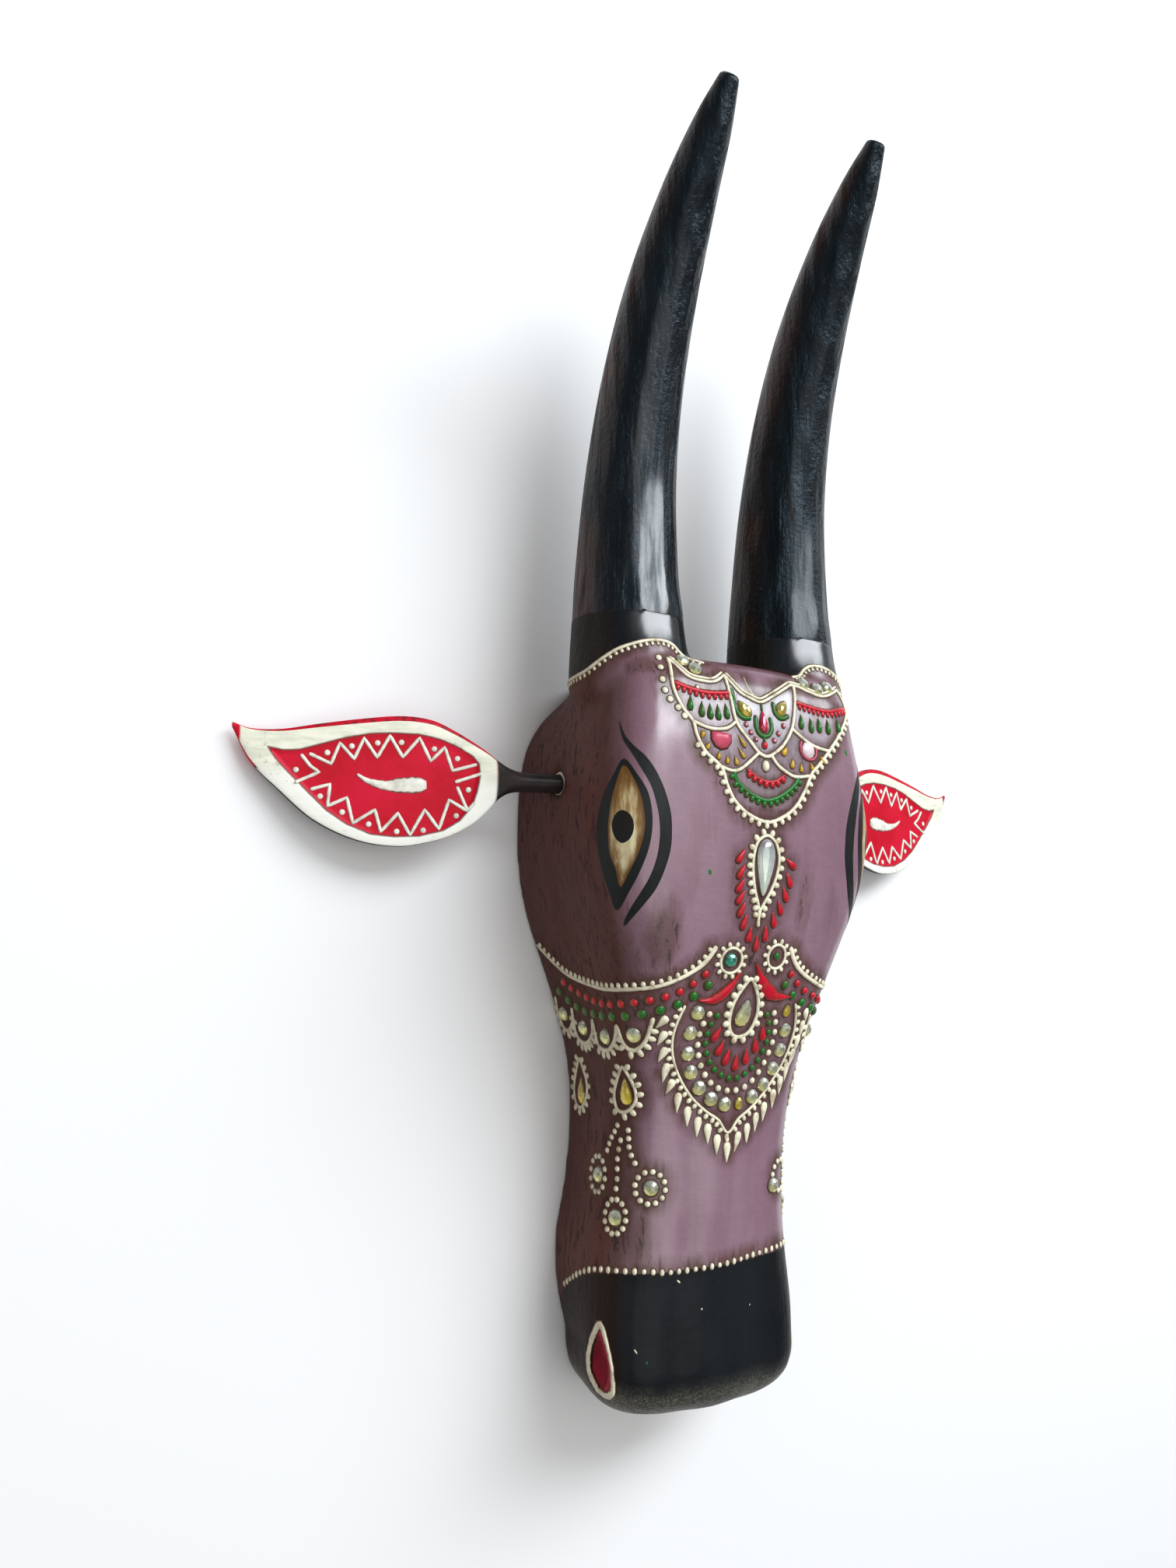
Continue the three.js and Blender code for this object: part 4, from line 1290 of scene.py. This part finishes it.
def patch(name, rings, lift, paint, closed=True):
    """A thin coat of paint through rings of places round the face, the first ring innermost."""
    corners = [on_head(a, y, lift)[0] for ring in rings for a, y in ring]
    count = len(rings[0])
    rims = [r / (len(rings) - 1) for r in range(len(rings)) for _ in range(count)]
    piece = new_piece(name, corners, bands(len(rings), count, closed), rim=rims)
    mend(piece, 0.00002)
    first_faces = piece.data.polygons[:40]
    if sum(face.normal.dot(nearest(face.center)[1]) for face in first_faces) < 0:
        piece.data.flip_normals()
    coat = piece.modifiers.new("coat", "SOLIDIFY")
    coat.thickness = 0.0006
    coat.offset = -1
    apply_modifiers(piece)
    bpy.ops.object.shade_smooth_by_angle(angle=math.radians(40))
    piece.data.materials.append(paint)
    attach(piece, "root")
    return piece


def leaf_rings(outline, centre, steps):
    """Rings of places that grow from a centre to an outline."""
    a, y = centre
    loop = smooth_loop(outline, 1.5)
    return [
        [(a + (row.x - a) * k / steps, y + (row.y - y) * k / steps) for row in loop]
        for k in range(steps + 1)
    ]


def strip_rings(inner, outer, count, steps):
    """Lines of places that lead from one edge of a strip to the other."""
    edges = []
    for line in (inner, outer):
        rows = smooth_line(line, 0.5)
        edges.append([rows[round(i * (len(rows) - 1) / count)] for i in range(count + 1)])
    return [
        [(a.lerp(b, k / steps).x, a.lerp(b, k / steps).y) for a, b in zip(*edges)]
        for k in range(steps + 1)
    ]


lid_outer = [
    (-71.6, 95.5), (-69.4, 89), (-65.3, 83.8), (-60.7, 79.4), (-56.4, 73), (-52.4, 64), (-49.9, 55.3),
    (-49.2, 47.6), (-49.4, 40), (-51.4, 31.4), (-54.4, 23), (-58.8, 16), (-62.3, 11), (-65, 7.4),
]
lid_inner = [
    (-71.8, 95), (-70.8, 88), (-67, 81.2), (-63, 74.2), (-59, 66.6), (-56.6, 58.7), (-55.2, 51.1),
    (-54.9, 42.9), (-55.9, 34.8), (-58.2, 27), (-61.6, 19.8), (-64.2, 14.4), (-66, 9.6), (-66, 7.2),
]
almond = [
    (-70.4, 78.6), (-64.8, 71.6), (-60.6, 64.2), (-58.8, 56), (-58.5, 47.8), (-59.6, 39.5), (-62, 31.2),
    (-65.3, 22.6), (-70.2, 13.6), (-75.7, 22), (-81.2, 32.8), (-84.6, 44.3), (-84.2, 54.6), (-80.6, 64),
    (-75.4, 72),
]
gold_eye = [
    (-70.6, 75.6), (-66.4, 69.8), (-63.6, 62.3), (-62, 53.4), (-61.9, 46.6), (-64, 37.2), (-66.6, 30.6),
    (-69.9, 23.4), (-73, 30.6), (-76.9, 38.4), (-78.2, 49), (-77, 59.2), (-74.4, 67.8),
]
pupil = [
    (-71.6, 56), (-67.8, 53.6), (-66.4, 49), (-67.6, 44.2), (-71, 41.9), (-74.6, 44.6),
    (-76.2, 49.6), (-74.8, 54),
]
first_coat = 0.12
second_coat = 0.24
third_coat = 0.36
for turned, which in ((list, "left"), (mirrored, "right")):
    eye_centre, pupil_centre = turned([(-70.6, 48), (-71.2, 49)])
    rings = strip_rings(turned(lid_inner), turned(lid_outer), 60, 4)
    lid_piece = patch("eyelid_" + which, rings, first_coat, eye_black, closed=False)
    rings = leaf_rings(turned(almond), eye_centre, 10)
    almond_piece = patch("eye_almond_" + which, rings, first_coat, eye_black)
    patch("eye_gold_" + which, leaf_rings(turned(gold_eye), eye_centre, 9), second_coat, eye_gold)
    patch("eye_pupil_" + which, leaf_rings(turned(pupil), pupil_centre, 4), third_coat, pupil_brown)


# The stones.
# They are faceted glass with foil behind, each glued down in a ring or a row of the ornament.
# The long one on the forehead is a smooth clear cabochon, and the drop below the crown is red.
def new_glass(name, upper, middle, lower, roughness=0.08):
    """Foiled glass. Each facet is painted lighter or darker by the way it faces: painted reflections, as on a
    cut stone.
    """
    glass, place, shader = new_paint(name, middle, roughness, 1.0, 0.03, 0.5)
    each = speckle(place, 75, 1, 0.4)
    within = speckle(place, 520, 3, 0.6)
    turn = faced(place, 1) + 0.25 * faced(place, 0) + 0.5 * (each - 0.5) + 0.35 * (within - 0.5)
    stops = [
        (0.0, (*lower, 1)), (0.30, (*middle, 1)), (0.48, (*[0.8 * c for c in middle], 1)),
        (0.70, (*upper, 1)), (1.0, (*[min(1, 1.5 * c) for c in upper], 1)),
    ]
    ramp = {"stops": stops}
    tint = turn.node("ShaderNodeValToRGB", ramp, turn.step(-0.75, 0.75), output="Color")
    # Each stone is darker towards its foot.
    rim = 1 - mark(place, "rise").step(0.0, 0.30)
    tint = (rim * 0.65).blend(tint, (0.07, 0.04, 0.02))
    feed(shader, "Base Color", tint)
    feed(shader, "Metallic", 0.25 + 0.2 * within)
    feed(shader, "Roughness", roughness + 0.2 * within.step(0.4, 0.7))
    return glass


relief_paints["clear"] = new_glass("clear glass", (0.33, 0.34, 0.29), (0.31, 0.32, 0.19), (0.86, 0.82, 0.32))
relief_paints["amber"] = new_glass("yellow glass", (0.30, 0.24, 0.05), (0.40, 0.29, 0.02), (0.72, 0.56, 0.03))
relief_paints["ruby"] = new_glass("red glass", (0.55, 0.03, 0.08), (0.40, 0.0, 0.03), (0.65, 0.02, 0.07))
relief_paints["emerald"] = new_glass("green glass", (0.05, 0.30, 0.22), (0.0, 0.14, 0.09), (0.04, 0.42, 0.26))
# The cabochon is painted grey where it faces up and pale where it faces down: painted light through the
# glass.
cabochon_colours = ((0.30, 0.28, 0.31), (0.52, 0.58, 0.54), (0.85, 0.95, 0.82))
relief_paints["cabochon"] = new_glass("clear cabochon", *cabochon_colours)
round_cut = shape_of_dot(0.0, 0.0, 12, 6)
drop_cut = shape_of_dot(0.72, 0.5, 12, 6)
egg_cut = shape_of_dot(0.45, 0.25, 12, 6)
smooth_drop = shape_of_dot(0.6, 0.7, 32, 16)


def set_stone(group, colour, node, width, length, height, turn, shape):
    low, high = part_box(node)
    middle = (Vector(low) + Vector(high)) / 2
    point, normal = nearest(middle)
    group.dab(colour, (point, normal), width, length, height, turn, shape, edge=1.1)


def glue_down(group, slots, smooth=False):
    for colour, piece in group.make(smooth).items():
        if colour in slots:
            slot, nodes = slots[colour]
            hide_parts(*nodes)


def numbered(kind, count, sides=("left", "right")):
    """The nodes of one kind of stone, counted from 1 on each side."""
    return ["%s_%s_%d" % (kind, side, i + 1) for side in sides for i in range(count)]


def rounds(group, colour, nodes, turn=0):
    for i, node in enumerate(nodes):
        set_stone(group, colour, node, 7.1, 7.1, 2.4, turn + 40 * i, round_cut)


crown_stones = Relief("crown_stones")
set_stone(crown_stones, "amber", "stone_crown_left", 6.8, 9.2, 2.3, -42, egg_cut)
set_stone(crown_stones, "amber", "stone_crown_right", 6.8, 9.2, 2.3, 38, egg_cut)
set_stone(crown_stones, "ruby", "stone_crown_middle", 6.2, 10.8, 2.3, 0, drop_cut)
glue_down(crown_stones, {
    "amber": ("yellow_glass", ["stone_crown_left", "stone_crown_right"]),
    "ruby": ("red_glass", ["stone_crown_middle"]),
})
horn_nodes = numbered("stone_horn", 2, ["left"]) + numbered("stone_horn", 3, ["right"])
horn_stones = Relief("horn_stones")
rounds(horn_stones, "clear", horn_nodes)
glue_down(horn_stones, {"clear": ("clear_glass", horn_nodes)})
jewel = Relief("forehead_stone")
set_stone(jewel, "cabochon", "stone_forehead", 11.6, 25.8, 3.9, 180, smooth_drop)
glue_down(jewel, {"cabochon": ("clear_glass", ["stone_forehead"])}, smooth=True)
flower_stone = Relief("flower_stone")
set_stone(flower_stone, "emerald", "stone_flower_left", 6.4, 6.4, 2.2, 0, round_cut)
glue_down(flower_stone, {"emerald": ("green_glass", ["stone_flower_left"])})

yellow_pair = ["stone_nose_right_1", "stone_nose_right_7"]
nose_nodes = [node for node in numbered("stone_nose", 7) if node not in yellow_pair]
nose_stones = Relief("nose_stones")
rounds(nose_stones, "clear", nose_nodes, 15)
set_stone(nose_stones, "clear", "stone_nose_middle", 9.2, 13.4, 2.6, 12, egg_cut)
for node in yellow_pair:
    set_stone(nose_stones, "amber", node, 4.6, 6.2, 1.7, 0, round_cut)
glue_down(nose_stones, {
    "clear": ("clear_glass", nose_nodes + ["stone_nose_middle"]),
    "amber": ("yellow_glass", yellow_pair),
})
cheek_nodes = numbered("stone_cheek", 4)
cheek_stones = Relief("cheek_stones")
rounds(cheek_stones, "clear", cheek_nodes)
glue_down(cheek_stones, {"clear": ("clear_glass", cheek_nodes)})
drops = numbered("drop_tassel", 2)
tassel_nodes = numbered("stone_tassel", 3)
tassel_stones = Relief("tassel_stones")
rounds(tassel_stones, "clear", tassel_nodes, 20)
for node in drops:
    set_stone(tassel_stones, "amber", node, 7.6, 12.8, 2.4, 0, drop_cut)
glue_down(tassel_stones, {"clear": ("clear_glass", tassel_nodes), "amber": ("yellow_glass", drops)})


# The pattern on the ears, and the glue round their stems.
# Zigzags, dots and a comma are brushed in thick white paint on the red field of each ear. A thin
# ring of white glue has squeezed out where the stem goes into the head.
ear_zigzags = [
    [
        (182.4, 79.4), (173.7, 75.6), (170.3, 85), (164.1, 78.3), (160.2, 87.8), (154.4, 79.5),
        (149.2, 89.6), (143.5, 80.3), (136.4, 89.4), (131.3, 79.2), (125.3, 85.9), (121.6, 75.4),
        (111.5, 78.7),
    ],
    [(185.9, 78.6), (182.2, 74.1), (178.5, 71.6), (187.8, 66.8)],
    [
        (181.2, 64), (173.8, 66.5), (174.4, 56.9), (166.5, 61), (163.5, 49.9), (154.5, 56.2),
        (151.6, 46.7), (144.7, 55.1), (139.1, 45.6), (133.2, 57.2), (126.7, 48.8), (122.8, 62.1),
        (114.7, 57.6), (112.1, 61),
    ],
    [(114.7, 58.1), (119.2, 67.8)],
    [(119.9, 70.5), (109.7, 74.4)],
]
ear_dots = [
    (175.4, 80.4), (165.3, 83.9), (154.4, 86), (144.2, 86.9), (129.9, 84.8), (119.6, 81),
    (188.1, 72.1), (114.4, 67.1), (177.6, 61), (168.2, 54.5), (156.9, 49.7), (144.9, 47),
    (133.5, 48), (119.4, 55.1),
]
ear_comma = [(162.3, 71.4), (158.1, 68.9), (150.8, 67.2), (143.6, 67.6), (135.2, 68.2)]
relief_paints["white_paint"] = new_relief_paint("ear white paint", (0.86, 0.84, 0.74), 0.1, 0.4)
stem_entry = 72
glue_height = 5.5
glue_depth = 5.6


def straight(points, step=1.4):
    """Points along straight strokes, the corners kept."""
    rows = [Vector(p) for p in points]
    made = [rows[0]]
    for a, b in zip(rows, rows[1:]):
        made.extend(evenly([a, b], step)[1:])
    return made


for side, which in ((-1, "left"), (1, "right")):
    ear_object = bpy.data.objects["carved_ear_" + which]
    ear_tree = BVHTree.FromObject(ear_object, bpy.context.evaluated_depsgraph_get())

    def on_ear(spot):
        start = Vector((side * spot[0] / 1000, spot[1] / 1000, 0.2))
        point, normal, _, _ = ear_tree.ray_cast(start, Vector((0, 0, -1)))
        return point, normal

    pattern = Relief("ear_pattern_" + which)
    for line in ear_zigzags:
        path = [on_ear(row) for row in straight(line)]
        pattern.line("white_paint", path, 1.7, 0.55, edge=0)
    pattern.beads("white_paint", [on_ear(spot) for spot in ear_dots], 2.8, height=0.6, edge=0)
    path = [on_ear(row) for row in smooth_line(ear_comma, 1.2)]
    pattern.line("white_paint", path, [1.2, 2.6, 3.6, 5, 6.6, 7.8, 6.4], 0.7, edge=0)
    pattern.make()
    ring = []
    for k in range(24):
        turn = 2 * math.pi * k / 24
        up = ear_level + glue_height * math.sin(turn)
        out = ear_middle + glue_depth * math.cos(turn)
        ring.append(nearest(Vector((side * stem_entry, up, out)) / 1000, 0.2))
    glue = Relief("stem_glue_" + which)
    glue.line("white_paint", ring, [1.0, 1.8, 1.2, 2.1, 1.0, 1.6, 1.0], 1.1, closed=True, edge=0)
    glue.make()


# The nostrils.
# A leaf-shaped recess is cut in each side of the muzzle and painted crimson inside. Its edge is
# a thick, uneven cream line.
nostril_edge = [
    (48.4, -166.6), (43.2, -172.5), (40, -177.7), (38, -183), (37.6, -188), (39, -191.2),
    (42.4, -194), (46, -196.4), (51.4, -197.6), (56, -195), (57.6, -190.4), (57, -185),
    (55.6, -179), (54, -174), (52.4, -170.4), (50.4, -167),
]
nostril_widths = [3.2, 2.6, 2.2, 2.6, 2.8, 2.2, 3.2, 2.4, 1.8, 1.7, 2, 3]
nostrils = Relief("nostrils")
for side in (-1, 1):
    loop = smooth_loop(nostril_edge, 1.3)
    path = [nearest(Vector((side * 0.052, row.y / 1000, row.x / 1000)), 0.1) for row in loop]
    nostrils.line("cream", path, nostril_widths, 0.9, closed=True)
nostrils.make()


# The brown wash and the painted bosses, as values on the head's own mesh.
# The wash lies thick beside the ornament and fades out over a few millimetres. The bosses under
# the horns are black down to their cream borders, and the nostrils' hollows are crimson.
thick_wash = 1.2
wash_fade = 6.5
boss_across = 45.6
boss_out = 56
boss_reach = 36
panel_foot = 60
panel_top = 112
panel_out = 75
boss_blur = 1.6
lining_blur = 1.2
shield_fade = 2
panel_fade = 4
spots_tree = KDTree(len(ornament_spots))
for i, spot in enumerate(ornament_spots):
    spots_tree.insert(spot, i)
spots_tree.balance()
# The angle round a boss, from its front and away from the middle of the head, and the height of
# the black's edge there.
boss_edge = [
    (-180, 121), (-120, 127), (-75, 130), (-45, 128.5), (-31, 127), (-20, 131), (-12, 134.2),
    (2, 134.8), (17, 133.7), (31, 131.5), (43, 129.2), (55, 125.6), (68, 121.4), (81, 119.7),
    (108, 119), (150, 119), (180, 121),
]
shield = [
    (-18, 120), (-16.6, 108.8), (-14.6, 98.1), (-7.5, 89.7), (0, 84.5), (11, 90.5), (17, 98.9),
    (20.3, 109.4), (20.4, 120.5), (8, 113.6), (0, 109.6), (-11.7, 113.4),
]
nostril_hollow = [
    (48.4, -168), (44.2, -172.8), (41.2, -178), (39.6, -183), (39.2, -188), (41.5, -192),
    (46, -195.6), (51.2, -196.8), (54.6, -194.4), (55.6, -190), (55.2, -185), (54, -179),
    (52.2, -173), (50.4, -168.6),
]
# The distance round the face, the height, the reach across and up, and the strength.
smear_places = [
    (-48, 2, 14, 30, 0.9), (-60, -8, 18, 12, 0.6), (-57, 122, 14, 10, 1.0), (-32, 116, 18, 7, 1.0),
    (42, 115, 20, 7, 1.0), (0, -3, 20, 13, 0.8), (24, 22, 10, 34, 0.6), (44, 14, 10, 26, 0.6),
    (-27, 50, 9, 16, 0.5), (-46, -130, 20, 26, 0.9), (-44, -60, 11, 34, 0.55), (47, -95, 9, 46, 0.7),
    (-34, -141, 34, 9, 0.7), (5, 30, 22, 22, 0.4),
]
smear_places = [(on_head(a, y)[0] * 1000, *rest) for a, y, *rest in smear_places]


def boss_edge_at(turn):
    """The height of a boss's black edge, by the angle round the boss in degrees."""
    i = max(j for j in range(len(boss_edge) - 1) if boss_edge[j][0] <= turn)
    low, high = boss_edge[i], boss_edge[i + 1]
    return low[1] + (turn - low[0]) / (high[0] - low[0]) * (high[1] - low[1])


marks = {"wash": [], "boss": [], "lining": [], "tint": [], "smear": []}
for vertex in carved_head.data.vertices:
    x, y, z = vertex.co * 1000
    _, _, far = spots_tree.find(vertex.co)
    marks["wash"].append(1 - clamp((far * 1000 - thick_wash) / wash_fade) ** 0.8)
    smear = 0.0
    for middle, wide, high, strength in smear_places:
        away = math.hypot(x - middle.x, z - middle.z, (y - middle.y) * wide / high) / wide
        smear = max(smear, strength * (1 - away ** 2) if away < 1 else 0)
    marks["smear"].append(smear)
    out = abs(x) - boss_across
    edge = boss_edge_at(math.degrees(math.atan2(out, z - boss_out)))
    near_boss = y > panel_top and math.hypot(out, z - boss_out) < boss_reach
    marks["boss"].append(clamp((y - edge) / boss_blur + 0.5) if near_boss else 0.0)
    near_nostril = abs(x) > 30 and y < -160
    hollow = inside_depth(nostril_hollow, z, y) if near_nostril else -1
    marks["lining"].append(clamp(hollow / lining_blur + 0.5))
    # The tint value is highest on the crown panel's shield and lower on its cells, where the head is painted
    # with a silvery reflection.
    near_shield = z > panel_out and abs(x) < 25 and y > 80
    inner = inside_depth(shield, x, y) if near_shield else -1
    near_panel = z > panel_out and panel_foot < y < panel_top
    panel = inside_depth(crown_fringe, x * 1.06, y) if near_panel else -1
    marks["tint"].append(max(clamp(inner / shield_fade), 0.45 * clamp(panel / panel_fade)))
for name, values in marks.items():
    attribute = carved_head.data.attributes.new(name, "FLOAT", "POINT")
    attribute.data.foreach_set("value", values)
